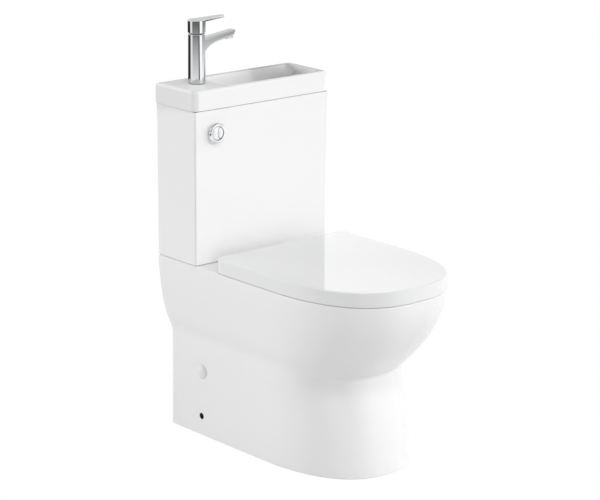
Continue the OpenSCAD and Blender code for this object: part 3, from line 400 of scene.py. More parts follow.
def bowl(name, wall):
    """The bowl up to the rim: its outside, or its inside with a round lip that opens upwards."""
    rings = [bowl_ring(u, wall, rim_z - u * bowl_depth)
             for u in bowl_levels if u * bowl_depth > bowl_lip]
    if wall:
        rings.append(bowl_ring(0, wall, rim_z - 3))
    else:
        lip = rounded(bowl_lip)[:-1]
        for out, down in lip:
            u = down / bowl_depth
            rings.append(bowl_ring(u, out, rim_z - u * bowl_depth))
        out, down = lip[-1]
        rings.append(bowl_ring(0, out + (1 + down) * math.tan(quarter[-2]), rim_z + 1))
    return loft(name, rings)


def trap_way(name, radius):
    """The bent water way from the bowl's foot over the weir to the outlet."""
    low, lift = trap_foot + trap_bend, outlet_z + weir_rise - trap_bend
    slant = trap_bend * math.sin(math.pi / 4)
    over = sump_depth - (trap_bend + slant) - (lift - low + 3 * slant)
    line = [(sump_depth, sump_z + 20, -90)]
    line += [(sump_depth - trap_bend - trap_bend * math.cos(math.radians(a)),
              low + trap_bend * math.sin(math.radians(a)), a + 90) for a in range(180, 316, 9)]
    line += [(over - trap_bend * math.cos(math.radians(a)),
              lift + trap_bend * math.sin(math.radians(a)), a - 90) for a in range(135, 89, -9)]
    line.append((spigot_in + spigot_l, outlet_z + weir_rise, 0))
    rings = []
    for depth, z, heading in line:
        h = math.radians(heading)
        around = [math.radians(10 * i) for i in range(36)]
        rings.append([place(radius * math.cos(b), depth - radius * math.sin(b) * math.sin(h),
                            z - radius * math.sin(b) * math.cos(h)) for b in around])
    return loft(name, rings)


join(pan, bowl("bowl_outside", bowl_wall))
join(pan, trap_way("trap_outside", trap_r + trap_wall))
join(pan, rod("spigot", spigot_r, (0, spigot_in + spigot_l + 14, outlet_z),
              (0, spigot_in, outlet_z), 96))
channel_z = rim_z - channel_drop
join(pan, rod("horn", inlet_seat_r + channel_wall, (0, valve_depth, rim_z - 56),
              (0, valve_depth, rim_z - 6)))
join(pan, rod("flush_channel", channel_r + channel_wall, (0, channel_end, channel_z),
              (0, valve_depth, channel_z)))
cut(pan, bowl("bowl_inside", 0), trap_way("trap_inside", trap_r),
    rod("spigot_bore", spigot_r - spigot_wall, (0, spigot_in + spigot_l, outlet_z),
        (0, -1, outlet_z), 96),
    rod("inlet", inlet_r, (0, valve_depth, rim_z - 46), (0, valve_depth, rim_z + 14)),
    rod("inlet_seat", inlet_seat_r, (0, valve_depth, rim_z - 14), (0, valve_depth, rim_z + 6)),
    rod("channel", channel_r, (0, channel_end + 14, channel_z), (0, valve_depth, channel_z)))
tap_x, tap_depth = middle("tap_base_seal")[:2]
fill_x = middle("fill_valve_backnut")[0]
hinge_x, hinge_depth = 77.5, middle("hinge_pins")[1]
bolt_x, tails_r = 62, 30
# across, depth and radius of the deck's bores: cistern bolts, fill valve, tap tails, seat bolts
deck_bores = [(-bolt_x, valve_depth, 5.5), (bolt_x, valve_depth, 5.5), (fill_x, valve_depth, 23),
              (tap_x, tap_depth, tails_r), (-hinge_x, hinge_depth, 7), (hinge_x, hinge_depth, 7)]
for x, depth, r in deck_bores:
    cut(pan, rod("deck_bore", r, (x, depth, rim_z - 38), (x, depth, rim_z + 22), 48))
side_depth, fixing_z, fixing_r, cover_z, stem_hole_r = 105, 44, 7, 147, 6
bore_in, bore_out = 127, 190
for sign in (-1, 1):
    cut(pan, rod("fixing_bore", fixing_r, (sign * bore_in, side_depth, fixing_z),
                 (sign * bore_out, side_depth, fixing_z), 48),
        rod("cover_bore", stem_hole_r, (sign * bore_in, side_depth, cover_z),
            (sign * bore_out, side_depth, cover_z), 32))


def surface(name, even):
    """A material whose even values stand on its Principled shader's own sockets.

    It comes with the shader and with the place on the object, to add the uneven ones from.
    """
    material = bpy.data.materials.new(name)
    material.use_nodes = True
    shader = material.node_tree.nodes["Principled BSDF"]
    for socket, value in even.items():
        shader.inputs[socket].default_value = value
    return material, shader, Value(material.node_tree).add("TexCoord", output=3)


def ripple(spot, scale, detail=1.0):
    return spot.add("TexNoise", {}, {"Vector": spot, "Scale": scale, "Detail": detail})


# vitreous glaze: slow waves from the mould, a fine skin, a biscuit edge where it stands, and
# fixing holes whose insides are painted near-black as painted shade of their depth
glaze_white, biscuit = (0.85, 0.852, 0.85, 1), (0.62, 0.59, 0.54, 1)
painted_bore_shade = (0.03, 0.03, 0.03, 1)
glaze, shader, spot = surface("white_glaze", {"IOR": 1.52, "Specular IOR Level": 0.5})
bare = spot.add("SeparateXYZ", {}, {0: spot}, 2).between(1.2 * mm, 0.4 * mm)
skin = bare.blend(glaze_white, biscuit)
beside = spot.add("VectorMath", {"operation": "MULTIPLY"}, {0: spot, 1: (0, 1, 1)})
off_axis = spot.add("VectorMath", {"operation": "DISTANCE"}, {
    0: beside, 1: place(0, side_depth, fixing_z)}, output=1)
# painted shade: a near-black colour round the fixing bores' axis stands in for the shade inside
# them
bore_shade = off_axis.between((fixing_r + 0.5) * mm, (fixing_r + 0.2) * mm)
bore_shade.blend(skin, painted_bore_shade).into(shader, "Base Color")
(ripple(spot, 60, 2) * 0.05 + 0.05 + bare * 0.6).into(shader, "Roughness")
(ripple(spot, 6) * 0.35 + ripple(spot, 240) * 0.004).bump(shader, 0.5, mm)


def dress(piece, material, body, slot, *stands_for):
    """Finishes a new piece: its material, the body that it rides on and the nodes it stands for."""
    piece.data.materials.clear()
    piece.data.materials.append(material)
    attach(piece, body)
    if stands_for:
        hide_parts(*stands_for)


dress(smooth(pan), glaze, "fixed", "ceramic", "pan")

# ---------- side covers ----------
# Two white plastic caps on stems, pushed into the upper side holes to close them. One node holds
# the pair, so only the right one replaces it.


def turned(name, start, along, profile, sides=96):
    """A turned piece: profile is (distance along the axis, radius) from one end to the other."""
    start, along = Vector(place(*start)), Vector(along)
    turn = along.to_track_quat("Z", "Y").to_matrix()
    angles = [2 * math.pi * i / sides for i in range(sides)]
    rings = [[tuple(start + turn @ Vector((
        radius * mm * math.cos(a), radius * mm * math.sin(a), distance * mm))) for a in angles]
        for distance, radius in profile]
    return loft(name, rings)


plastic, shader, spot = surface("seat_plastic", {"Base Color": (0.8, 0.803, 0.805, 1), "IOR": 1.5})
(ripple(spot, 40, 2) * 0.03 + 0.045).into(shader, "Roughness")
(ripple(spot, 500) * 0.002).bump(shader, 0.5, mm)

cover_r, stem_r, dome = 17, 5.9, 4
dome_r = (cover_r ** 2 + dome ** 2) / 2 / dome
cover_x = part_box("side_covers")[1].x / mm - dome
for sign, name in ((-1, "side_cover_left"), (1, "side_cover_right")):
    cap = [(-12, 5), (-11, stem_r), (0, stem_r), (0, cover_r - 0.5), (0.3, cover_r - 0.1)]
    cap += [(dome - dome_r + math.sqrt(dome_r ** 2 - r ** 2), r)
            for r in (cover_r - 0.4, 15.5, 14, 12, 10, 8, 6, 4, 2, 0.5)]
    cap = turned(name, (sign * cover_x, side_depth, cover_z), (sign, 0, 0), cap, 64)
    dress(smooth(cap), plastic, "fixed", "seat_plastic", *(["side_covers"] if sign > 0 else []))

# ---------- cistern ----------
# A slip-cast china box with a water side and a dry side for the tap's tails. It stands on a foam
# pad on the pan's deck and is held by two bolts.
cistern_low, cistern_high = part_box("cistern")
cistern_z, cistern_top = cistern_low.z / mm, cistern_high.z / mm
cistern_half = cistern_high.x / mm
cistern_taper, cistern_wall, cistern_floor, edge = 2, 11, 14, 1.5


def box_ring(x0, x1, depth0, depth1, corner, z, back=None, steps=8):
    """Points round a rectangle with round corners from its front, depth0, to its back, depth1."""
    back = back or corner
    corners = ((x0 + corner, depth0 - corner, corner, 180),
               (x1 - corner, depth0 - corner, corner, 270),
               (x1 - back, depth1 + back, back, 0), (x0 + back, depth1 + back, back, 90))
    return [place(x + r * math.cos(math.radians(a)), depth - r * math.sin(math.radians(a)), z)
            for x, depth, r, first in corners
            for a in (first + 90 * i / steps for i in range(steps + 1))]


def cistern_ring(z, inset=0, corner=4.0):
    k = cistern_taper * (cistern_top - z) / (cistern_top - cistern_z)
    return box_ring(-cistern_half + k + inset, cistern_half - k - inset,
                    cistern_depth - k - inset, max(0, inset), corner, z)


soft_edge = [(edge * (1 - math.sin(a)), edge * (1 - math.cos(a)))
             for a in (math.radians(turn) for turn in (90, 67, 45, 22, 0))]
cistern = loft("cistern_china", [cistern_ring(cistern_z, edge + 2, 2.0)]
               + [cistern_ring(cistern_z + up, side) for up, side in soft_edge]
               + [cistern_ring(cistern_z + 4), cistern_ring(cistern_top - 4)]
               + [cistern_ring(cistern_top - up, side) for up, side in soft_edge[::-1]]
               + [cistern_ring(cistern_top, edge + 2, 2.0)])
tank = loft("tank", [cistern_ring(cistern_z + cistern_floor, cistern_wall, 10),
                     cistern_ring(cistern_top + 1, cistern_wall, 10)])
bowl_x0, bowl_x1 = 97 - cistern_half, cistern_half - 17
cut(tank, block("partition", (bowl_x0 - 6, cistern_depth, cistern_z),
                (bowl_x0 + 2, 0, cistern_top - 73)))
button_x, button_z = middle("bezel_locknut")[::2]
face_r, bezel_r, button_hole_r = 15.5, 22, 18
cut(cistern, tank, rod("button_hole", button_hole_r, (button_x, cistern_depth + 2, button_z),
                       (button_x, cistern_depth - 16, button_z)))
# across, depth and radius of the floor's bores: flush valve, cistern bolts, fill valve, tap tails
for x, depth, r in [(0, valve_depth, 28), (-bolt_x, valve_depth, 5), (bolt_x, valve_depth, 5),
                    (fill_x, valve_depth, 12.1), (tap_x, tap_depth, tails_r)]:
    cut(cistern, rod("floor_bore", r, (x, depth, cistern_z - 1), (x, depth, cistern_z + 16), 48))
dress(smooth(cistern), glaze, "fixed", "ceramic", "cistern")

# ---------- basin ----------
# A shallow china basin that closes the cistern. Its left end is a flat deck for the tap, and its
# bowl drains through a grid into the tank below.
basin_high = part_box("basin")[1]
basin_half, basin_top = basin_high.x / mm, basin_high.z / mm
basin_z = cistern_top + 1
basin_edge, basin_corner, wall_corner, basin_wall, bowl_shell = 7.5, 16, 3, 12, 9
tap_hole_r, waste_hole_r = 17, 20.5
bowl_drop, bowl_corner, bowl_front, bowl_back, bowl_edge = 79, 20, 12.5, 22, 2.5
left_slope, right_slope, front_slope, back_slope = 34, 18, 17, 16
bowl_floor = basin_top - bowl_drop
waste_x, waste_depth = middle("basin_waste")[:2]


def basin_ring(z, inset=0):
    return box_ring(-basin_half + inset, basin_half - inset, cistern_depth - inset, inset,
                    max(2, basin_corner - inset), z, max(1, wall_corner - inset))


def basin_bowl_ring(u, wall, z):
    """The bowl's outline where its walls have come in by the share u of their slopes."""
    lip = bowl_edge * (1 - min(1, u * 8)) ** 2
    return box_ring(bowl_x0 + left_slope * u - lip - wall, bowl_x1 - right_slope * u + lip + wall,
                    cistern_depth - bowl_front - front_slope * u + lip + wall,
                    bowl_back + back_slope * u - lip - wall, bowl_corner + wall / 2, z)


def drop_share(u, bend=0.85, steep=0.93, ease=0.9):
    """How deep the bowl is at the share u: straight down to a bend, then easing into the floor."""
    past = max(0, u - bend)
    return steep * (min(u, bend) + past - past ** 2 / ease)


def basin_bowl(name, wall):
    """The bowl up to the basin's top: its shell, or its inside with a soft upper edge."""
    shares = [1.3, 1.2, 1.1, 1.02, 0.95, 0.85, 0.7, 0.5, 0.3, 0.2, 0.13]
    rings = [basin_bowl_ring(u, wall, basin_top - drop_share(u) * (bowl_drop + wall))
             for u in shares]
    if wall:
        rings.append(basin_bowl_ring(0.13, wall, basin_top - 4))
    else:
        rings += [basin_bowl_ring(u, 0, basin_top - drop_share(u) * bowl_drop)
                  for u in (0.11, 0.09, 0.07, 0.05, 0.03, 0.015, 0.006)]
        rings.append(basin_bowl_ring(0, 0.6, basin_top + 0.4))
        rings.append(basin_bowl_ring(0, 2, basin_top + 2))
    return loft(name, rings)


basin = loft("basin_china", [basin_ring(basin_z, 3), basin_ring(basin_z, 0.8),
                             basin_ring(basin_z + 0.3, 0.2), basin_ring(basin_z + 0.8)]
             + [basin_ring(basin_top - down, inset) for inset, down in rounded(basin_edge)]
             + [basin_ring(basin_top, basin_edge + 1.5)])
cut(basin, loft("underside", [basin_ring(basin_z - 1, basin_wall),
                              basin_ring(basin_top - basin_wall, basin_wall)]))
shell = basin_bowl("bowl_shell", bowl_shell)
join(shell, block("inside_walls", (-basin_half, cistern_depth - cistern_wall - 0.6, 0),
                  (basin_half, 1.4, basin_top - 2)), "INTERSECT")
join(basin, shell)
cut(basin, basin_bowl("basin_inside", 0),
    rod("tap_hole", tap_hole_r, (tap_x, tap_depth, basin_top - 13),
        (tap_x, tap_depth, basin_top + 1)),
    rod("waste_hole", waste_hole_r, (waste_x, waste_depth, bowl_floor - 14),
        (waste_x, waste_depth, bowl_floor + 16)))
dress(smooth(basin), glaze, "fixed", "ceramic", "basin")

# ---------- pads, gasket and washers ----------
# Closed-cell foam under the cistern and in the doughnut that seals the flush inlet; black rubber
# where china meets china or metal.


def finish_nodes(material, *names):
    """Gives CAD nodes that show as they are their material."""
    for name in names:
        for holder in nodes[name].material_slots:
            holder.material = material


foam, shader, spot = surface("grey_foam", {"Roughness": 0.9})
cells = spot.add("TexVoronoi", {}, {"Vector": spot, "Scale": 900})
greys(cells, (0, 0.10), (1, 0.24)).into(shader, "Base Color")
cells.bump(shader, 0.6, 0.3 * mm)
finish_nodes(foam, "cistern_pad", "doughnut_washer")

rubber, shader, spot = surface("black_rubber", {"IOR": 1.45})
dust = ripple(spot, 90, 4)
greys(dust, (0.3, 0.022), (0.75, 0.045)).into(shader, "Base Color")
(dust * 0.25 + 0.5).into(shader, "Roughness")
ripple(spot, 1500).bump(shader, 0.3, 0.05 * mm)
finish_nodes(rubber, "basin_gasket", "waste_washer", "tap_base_seal", "tap_washer",
             "coupling_washers")

# ---------- chrome ----------
# Bright chromium plate on brass and on moulded caps: a mirror with a faint polishing haze.
chrome, shader, spot = surface("chrome_plate", {
    "Base Color": (0.86, 0.87, 0.88, 1), "Metallic": 1.0})
(ripple(spot, 160, 3) * 0.05 + 0.035).into(shader, "Roughness")
ripple(spot, 30).bump(shader, 0.2, 0.1 * mm)
finish_nodes(chrome, "basin_waste", "hinge_blocks")

# ---------- tap ----------
# A single-lever basin tap of chromed brass. Its shank goes through the deck's hole and is held
# from below; the spout grows out of the body, and the lever's hub covers the cartridge.
tap_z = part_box("tap_base_seal")[1].z / mm
tap_h, tap_r, tap_top_r, shank_r, shank_l = 106, 19, 18.25, 14, 40
spout_reach, spout_slope, spout_half, spout_narrows, spout_round = 101, 0.135, 12.5, 2.5, 2.5
lean_from, tip_lean = 82, 0.45


def tap_place(x, z):
    """A point over the tap's axis, x towards the spout's tip."""
    return (tap_x + x, tap_depth, tap_z + z)


def spout_top(x):
    return tap_h - 14 + spout_slope * x


def spout_deep(x):
    """The spout's depth: even at its tip, and deeper where it grows out of the body."""
    return 12.8 + 16 * math.exp(-max(0, x - 14) / 14)


def spout_ring(x, inset=0.0):
    """Outline of the spout across its length at x, its corners rounded more below than above."""
    w = spout_half - spout_narrows * x / spout_reach - inset
    top, bottom = spout_top(x) - inset, spout_top(x) - spout_deep(x) + inset
    lean = tip_lean * max(0, x - lean_from) / (spout_reach - lean_from)
    ring = []
    for side, level, radius, first in ((w, top, 2, 0), (-w, top, 2, 90),
                                       (-w, bottom, 3.5, 180), (w, bottom, 3.5, 270)):
        radius = max(0.6, radius - inset)
        across = side - math.copysign(radius, side)
        centre = level - radius if first < 180 else level + radius
        for i in range(7):
            a = math.radians(first + 15 * i)
            z = centre + radius * math.sin(a)
            ring.append(place(tap_x + x - lean * (top - z),
                              tap_depth - across - radius * math.cos(a), tap_z + z))
    return ring


spout_rings = [spout_ring(4)] + [spout_ring(x) for x in range(12, 98, 2)]
spout_rings += [spout_ring(spout_reach - down, inset) for inset, down in rounded(spout_round)]
tap = turned("tap_body_chrome", tap_place(0, 0), (0, 0, 1), [
    (-shank_l, shank_r - 0.8), (1 - shank_l, shank_r), (0, shank_r), (0, tap_r - 0.3), (0.3, tap_r)]
    + [(tap_h * i / 10, tap_r - (tap_r - tap_top_r) * i / 10) for i in range(1, 10)]
    + [(tap_h - 1, tap_top_r), (tap_h - 0.6, tap_top_r - 0.15), (tap_h, tap_top_r - 0.8)], 128)
join(tap, loft("spout", spout_rings))
tail_x, tail_r, socket_l, cartridge_r, shank_bore_r = 6.2, 5.05, 26, 16.55, 12.5
aerator_x, aerator_r, mouth_r = spout_reach - 14, 9, 7.5
aerator_tilt = math.atan(spout_slope)
aerator_down = Vector((math.sin(aerator_tilt), 0, -math.cos(aerator_tilt)))
aerator_at = Vector((aerator_x, 0, spout_top(aerator_x) - spout_deep(aerator_x)))


def on_aerator(distance):
    """A place on the outlet's axis, at a distance below the spout's underside."""
    spot = aerator_at + aerator_down * distance
    return tap_place(spot.x, spot.z)


cut(tap, rod("cartridge_bore", cartridge_r, tap_place(0, tap_h - 42), tap_place(0, tap_h + 10)),
    rod("shank_bore", shank_bore_r, tap_place(0, -shank_l - 1), tap_place(0, 14)),
    rod("tail_socket_left", tail_r, tap_place(-tail_x, 0), tap_place(-tail_x, socket_l)),
    rod("tail_socket_right", tail_r, tap_place(tail_x, 0), tap_place(tail_x, socket_l)),
    rod("aerator_face", aerator_r + 1.5, on_aerator(20), on_aerator(0)),
    rod("aerator_bore", aerator_r, on_aerator(1), on_aerator(-6)))
dress(smooth(tap), chrome, "fixed", "chrome", "tap_body")

# A ring of cards round the tap, which shows only in what shines. From the left round the front it
# has a grey panel, a thin flag, a white wall, a grey wall, a card for the tops, a black flag and a
# light gap. The grey ones are dark above and pale below. A white band stands over all of it, where
# the card for the tops is wider.
cards_r, cards_low, cards_high = 400, -130, 280
cards_middle = (cards_low + cards_high) / 2
bpy.ops.object.select_all(action="DESELECT")
bpy.ops.mesh.primitive_cylinder_add(
    vertices=128, radius=cards_r * mm, depth=(cards_high - cards_low) * mm, end_fill_type="NOTHING",
    location=place(*tap_place(0, cards_middle)))
cards = bpy.context.object
cards.name = "studio_cards"
for way in ("camera", "diffuse", "transmission", "volume_scatter", "shadow"):
    setattr(cards, "visible_" + way, False)
card_paint = bpy.data.materials.new("studio_cards")
paint = bare_tree(card_paint)
spot = paint.add("TexCoord", output=3)
level = paint.add("SeparateXYZ", {}, {0: spot}, 2)


def card_fade(start, end):
    """From 0 to 1 between two heights over the tap's foot."""
    return level.between((start - cards_middle) * mm, (end - cards_middle) * mm)


def cards_at(panel, wall):
    """The ring's shades round the tap, given those of its grey panel and its grey wall."""
    return panel_ring(spot, [
        (-180, panel), (-106, panel), (-103, 0.1), (-91, 0.1), (-86, 1.1), (-60, 1.1), (-53, 0.9),
        (-48, wall), (34, wall), (40, top_tone), (62, top_tone), (66, 0.03), (141, 0.03),
        (147, 0.85), (172, 0.85), (176, panel)])


top_tone = 0.68
band = panel_ring(spot, [(-180, 1), (5, 1), (20, top_tone), (80, top_tone), (95, 1)])
band_fade = card_fade(74, 78)
tone = card_fade(72, -76).blend(cards_at(0.09, 0.17), cards_at(0.89, 1.15))
tone = band_fade.blend(tone, band)
paint.add("OutputMaterial", {}, {0: paint.add("Emission", {}, {"Color": tone, "Strength": 1.0})})
cards.data.materials.append(card_paint)

# Two black flags that only block light: one over the basin's bowl, one for the wall behind the pan.
black = bpy.data.materials.new("studio_black")
black.use_nodes = True
black.node_tree.nodes["Principled BSDF"].inputs["Base Color"].default_value = (0.01, 0.01, 0.01, 1)
for name, low, high in (("studio_flag", (50, 15, basin_top + 54), (165, 125, basin_top + 56)),
                        ("studio_wall", (-140, -1, 0), (140, -3, rim_z - 4))):
    flag = block(name, low, high)
    for way in ("camera", "glossy", "transmission"):
        setattr(flag, "visible_" + way, False)
    flag.data.materials.append(black)

# the aerator: one chromed piece, a ring round a spray plate with its jets
aerator = turned("tap_aerator_ring", on_aerator(4.2), tuple(-aerator_down), [
    (0, 8.4), (0, 9.2), (0.4, 9.6), (3.6, 10.1), (4.2, 9.9), (4.2, aerator_r - 0.05),
    (9, aerator_r - 0.05)], 64)
cut(aerator, rod("aerator_mouth", mouth_r, on_aerator(6), on_aerator(2)))
jets, jet_r, jet_ring = 6, 1.2, 4.5
for i in range(jets):
    a = 2 * math.pi * i / jets
    tool = rod("jet", jet_r, on_aerator(6), on_aerator(-14), 16)
    tool.location = (jet_ring * mm * math.cos(a) * math.cos(aerator_tilt),
                     jet_ring * mm * math.sin(a),
                     jet_ring * mm * math.cos(a) * math.sin(aerator_tilt))
    cut(aerator, tool)
dress(smooth(aerator), chrome, "fixed", "chrome", "tap_aerator")

# the lever: a hub with a slanting top that runs out into a blade
hub_z, hub_h, hub_r = tap_h + 3, 28.5, 19.25
lever_reach, lever_t, lever_rise = 74, 4.6, math.radians(2.5)
blade_r, tip_r, lever_edge, well_r, boss_r, stem_bore_r = hub_r - 1.5, 8, 0.9, hub_r - 2.1, 7, 3.5


def lever_top(x, down=0.0):
    """Height of the slanting top at x, or of a place straight below it."""
    return hub_z + hub_h - 1.2 + x * math.tan(lever_rise) - down


def hub_ring(inset, level=None, down=0.0):
    """Outline of the hub at an even level, or without one under the slanting top."""
    ring, steps = [], 128
    for i in range(steps):
        a = 2 * math.pi * i / steps
        x, y = (hub_r - inset) * math.cos(a), (hub_r - inset) * math.sin(a)
        z = lever_top(x, down) if level is None else level
        ring.append(place(tap_x + x, tap_depth - y, tap_z + z))
    return ring


def blade_ring(inset, down):
    """Outline of the blade under the slanting top: tangent lines from the hub to the round tip."""
    big, small = blade_r - inset, tip_r - inset
    far = lever_reach - tip_r
    lean = math.acos((blade_r - tip_r) / far)
    ring = []
    for i in range(49):
        a = -lean + 2 * lean * i / 48
        ring.append((far + small * math.cos(a), small * math.sin(a)))
    for i in range(49):
        a = lean + 2 * (math.pi - lean) * i / 48
        ring.append((big * math.cos(a), big * math.sin(a)))
    return [place(tap_x + x, tap_depth - y, tap_z + lever_top(x, down)) for x, y in ring]


lever_round = rounded(lever_edge)
lever = loft("tap_lever_chrome", [hub_ring(0.5, hub_z), hub_ring(0.15, hub_z + 0.15),
                                  hub_ring(0, hub_z + 0.5)]
             + [hub_ring(inset, None, down) for inset, down in lever_round] + [hub_ring(3)])
blade = loft("blade", [blade_ring(2, lever_t)]
             + [blade_ring(inset, lever_t - down) for inset, down in lever_round[::-1]]
             + [blade_ring(inset, down) for inset, down in lever_round] + [blade_ring(3, 0)])
join(lever, blade)
hub_top = hub_z + hub_h
well = rod("well", well_r, tap_place(0, hub_z - 1), tap_place(0, hub_top - 7))
cut(well, rod("boss", boss_r, tap_place(0, hub_z + 2), tap_place(0, hub_top)))
cut(lever, well, rod("stem_bore", stem_bore_r, tap_place(0, hub_z + 1), tap_place(0, hub_top - 4)))
dress(smooth(lever), chrome, "tap_handle", "chrome", "tap_lever")

# ---------- tap fixings ----------
# Brass backnut and union nuts, a steel stem, and a plastic cartridge with its turning carrier.
brass, shader, spot = surface("turned_brass", {"Metallic": 1.0})
stain = ripple(spot, 120, 4)
stain.blend((0.80, 0.58, 0.24, 1), (0.62, 0.42, 0.16, 1)).into(shader, "Base Color")
(stain * 0.2 + 0.2).into(shader, "Roughness")
finish_nodes(brass, "tap_backnut", "tail_nuts", "waste_backnut")

steel, shader, spot = surface("zinc_steel", {"Metallic": 1.0})
grain = ripple(spot, 260, 3)
greys(grain, (0.3, 0.5), (0.7, 0.66)).into(shader, "Base Color")
(grain * 0.2 + 0.22).into(shader, "Roughness")
finish_nodes(steel, "tap_stem", "coupling_bolts", "hinge_pins", "hinge_bolts", "full_button_spring",
             "half_button_spring", "tap_tails")


def moulded(name, colour, roughness):
    """Injection-moulded plastic: even colour with a fine spark-eroded skin."""
    material, shader, spot = surface(name, {"Base Color": (*colour, 1), "IOR": 1.49})
    (ripple(spot, 200, 3) * 0.12 + roughness).into(shader, "Roughness")
    ripple(spot, 1400).bump(shader, 0.3, 0.04 * mm)
    return material


grey_plastic = moulded("grey_plastic", (0.30, 0.31, 0.32), 0.3)
blue_plastic = moulded("blue_plastic", (0.05, 0.19, 0.42), 0.28)
white_plastic = moulded("white_plastic", (0.78, 0.78, 0.76), 0.32)
soft_plastic = moulded("soft_buffer", (0.66, 0.66, 0.66), 0.5)
red_rubber = moulded("red_seal", (0.45, 0.04, 0.03), 0.45)
tube_plastic = moulded("clear_tube", (0.62, 0.72, 0.78), 0.2)
finish_nodes(grey_plastic, "tap_cartridge", "tap_carrier", "fill_valve_float", "button_housing")

# ---------- cistern works ----------
# Moulded flush and fill valves. The button's two faces push air through tubes to the actuator.
finish_nodes(white_plastic, "waste_tailpipe", "bezel_locknut", "flush_valve_body",
             "flush_valve_backnut", "flush_actuator", "coupling_wingnuts", "fill_valve_body",
             "fill_valve_backnut", "hinge_nuts")
finish_nodes(blue_plastic, "flush_piston", "fill_valve_head")
finish_nodes(red_rubber, "flush_seal")
finish_nodes(tube_plastic, "air_tubes")
finish_nodes(soft_plastic, "seat_buffers", "lid_buffers")

# ---------- flush button ----------
# A chromed bezel screwed through the cistern's front, round two faces: a large crescent for the
# full flush and a lens for the half flush. Each face slides back on its own stem.
button_front = cistern_depth + 8
housing_front = cistern_depth - 23


def at_button(back, x=0.0):
    """A place on the button's axis or beside it, back behind the bezel's front."""
    return (button_x + x, button_front - back, button_z)


inward = (0, 1, 0)
bezel_round, neck_r = 4, 17.5
grooves = [(4.4, 0), (4.6, 0.7), (5.2, 0.7), (5.4, 0), (6.2, 0), (6.4, 0.7), (7.0, 0.7), (7.2, 0)]
bezel = turned("flush_bezel_chrome", at_button(0), inward, [
    (0.5, face_r + 0.1), (0.15, face_r + 0.4), (0, face_r + 0.9)]
    + [(back, bezel_r - deep) for back, deep in rounded(bezel_round) + grooves]
    + [(7.5, bezel_r), (7.7, bezel_r - 0.2), (7.7, neck_r),
       (button_front - housing_front, neck_r)], 128)
cut(bezel, rod("button_way", face_r, at_button(-1), at_button(40), 128))
dress(smooth(bezel), chrome, "fixed", "chrome", "flush_bezel")


def face_disc(radius, x=0.0, depth=4.0):
    """A short round bar with a slightly domed front and a soft edge, where a face is cut from."""
    front = [(r ** 2 / 220, r) for r in (0.5, 2, 4, 6, 8, 10, 12, radius - 0.8)]
    low = front[-1][0]
    return turned("face", at_button(0.1, x), inward, front + [
        (low + 0.1, radius - 0.5), (low + 0.35, radius - 0.15), (low + 0.8, radius),
        (depth, radius)], 128)


push_x, push_r, collar_r = 7, 3, 5.6


def stem(face, side):
    """Adds a face's stem on one side of the button, with the collar for its return spring."""
    x = button_x + side * push_x
    join(face, rod("stem", push_r, at_button(3, side * push_x),
                   (x, housing_front - 14, button_z), 32))
    return join(face, rod("collar", collar_r, (x, housing_front - 2, button_z),
                          (x, housing_front - 4, button_z), 32))


lens_r, lens_gap = face_r - 0.4, 1.3
half_face = join(face_disc(face_r - 0.9), face_disc(lens_r, lens_r), "INTERSECT")
half_face.name = half_face.data.name = "half_flush_face"
full_face = face_disc(face_r - 0.9)
full_face.name = full_face.data.name = "full_flush_face"
lens = join(rod("lens_way", face_r + 0.15, at_button(-1), at_button(7), 128),
            rod("lens_side", lens_r + lens_gap, at_button(-1, lens_r), at_button(7, lens_r), 128),
            "INTERSECT")
cut(full_face, lens)
dress(smooth(stem(full_face, -1)), chrome, "full_button", "chrome", "full_flush_button")
dress(smooth(stem(half_face, 1)), chrome, "half_button", "chrome", "half_flush_button")

# ---------- seat ----------
# A moulded seat ring of glossy white plastic on four buffers. Its two knuckles turn on the hinge
# pins, nearer the middle than the lid's knuckles.
hinge_z = rim_z + 17
pin_r, knuckle_r, knuckle_w, knuckle_gap = 3.5, 6.5, 11, 0.5
lid_low, lid_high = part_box("lid")
lid_half, lid_front, lid_back = lid_high.x / mm, wall_y - lid_low.y / mm, wall_y - lid_high.y / mm
lid_z0, lid_z1 = lid_low.z / mm, lid_high.z / mm
seat_in, seat_power, seat_corner, seat_round, open_round = 6.7, 2.6, 18, 5, 7
seat_half, seat_front, seat_back = lid_half - seat_in, lid_front - seat_in, hinge_depth + 17.5
seat_z0, seat_z1 = rim_z + 4, rim_z + 21
open_half, open_back, open_front = 108, seat_back + 56, seat_front - 66
open_straight, open_power, open_corner = open_front - 150, 2.3, 50


def knuckle_span(side, outer):
    """Left and right end of the knuckle beside a hinge block, nearer the middle or outside it."""
    near, far = knuckle_w / 2 + knuckle_gap, knuckle_w * 1.5 + knuckle_gap
    centre = side * hinge_x
    return (centre + near, centre + far) if outer == (side > 0) else (centre - far, centre - near)


def knuckle(name, radius, ends, past=0):
    """A rod on the hinge pins' axis between two ends, or past them."""
    return rod(name, radius, (ends[0] - past, hinge_depth, hinge_z),
               (ends[1] + past, hinge_depth, hinge_z), 48)


def seat_ring(inset, z):
    return d_ring(seat_half - inset, seat_back + inset, rim_straight, seat_front - inset,
                  seat_power, seat_corner, z)


def opening_ring(out, z):
    return d_ring(open_half + out, open_back - out, open_straight, open_front + out,
                  open_power, open_corner, z)


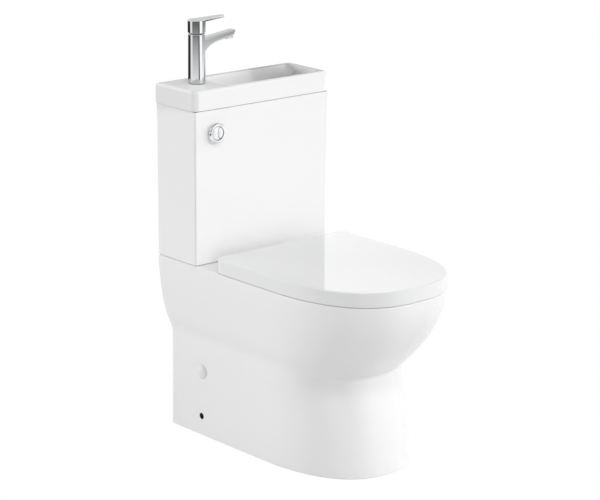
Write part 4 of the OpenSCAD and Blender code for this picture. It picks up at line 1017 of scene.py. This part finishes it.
seat = loft("seat_ring", [seat_ring(4, seat_z0), seat_ring(1, seat_z0),
                          seat_ring(0.3, seat_z0 + 0.6), seat_ring(0, seat_z0 + 2)]
            + [seat_ring(inset, seat_z1 - down) for inset, down in rounded(seat_round)]
            + [seat_ring(seat_round + 3, seat_z1)])
cut(seat, loft("seat_opening", [opening_ring(-2, seat_z0 - 1), opening_ring(-3.2, seat_z0 + 0.4),
                                opening_ring(-4, seat_z0 + 1.5)]
               + [opening_ring(out - 4, seat_z1 - down) for out, down in rounded(open_round)[:-1]]
               + [opening_ring(3.2, seat_z1 + 0.6)]))
for side in (-1, 1):
    ends = knuckle_span(side, False)
    join(seat, knuckle("seat_knuckle", knuckle_r, ends))
    join(seat, block("seat_arm", (ends[0], hinge_depth + 22, hinge_z - 6),
                     (ends[1], hinge_depth, hinge_z + 2)))
    cut(seat, knuckle("pin_bore", pin_r + 0.05, ends, 1))
dress(smooth(seat), plastic, "seat", "seat_plastic", "seat")

# ---------- lid ----------
# A moulded lid of the same plastic with a skirt that wraps over the seat, cut out at the back for
# the two hinges.
lid_wall, lid_round, lid_corner, lid_power, gap_half = 5, 3, 26, 2.6, 20.5
lid_inside = lid_z1 - lid_wall


def lid_ring(inset, z):
    return d_ring(lid_half - inset, lid_back + inset, rim_straight, lid_front - inset,
                  lid_power, lid_corner, z)


lid = loft("lid_shell", [lid_ring(3, lid_z0), lid_ring(0.6, lid_z0), lid_ring(0.17, lid_z0 + 0.17),
                         lid_ring(0, lid_z0 + 0.6)]
           + [lid_ring(inset, lid_z1 - down) for inset, down in rounded(lid_round)]
           + [lid_ring(lid_round + 3, lid_z1)])
lid_room = [d_ring(lid_half - lid_wall - inset, lid_back + 4 + inset, rim_straight,
                   lid_front - lid_wall - inset, lid_power, lid_corner - 4, z)
            for inset, z in ((0, lid_z0 - 1), (0, lid_inside - 3), (0.9, lid_inside - 0.9),
                             (3, lid_inside))]
cut(lid, loft("lid_room", lid_room))
for side in (-1, 1):
    cut(lid, block("hinge_gap", (side * hinge_x - gap_half, lid_back + 12, lid_z0 - 2),
                   (side * hinge_x + gap_half, lid_back - 2, lid_inside)))
    ends = knuckle_span(side, True)
    join(lid, knuckle("lid_knuckle", knuckle_r, ends))
    join(lid, block("lid_arm", (ends[0], hinge_depth + knuckle_r, hinge_z),
                    (ends[1], hinge_depth - knuckle_r + 3, lid_inside + 1)))
    cut(lid, knuckle("pin_bore", pin_r + 0.05, ends, 1))
dress(smooth(lid), plastic, "lid", "seat_plastic", "lid")
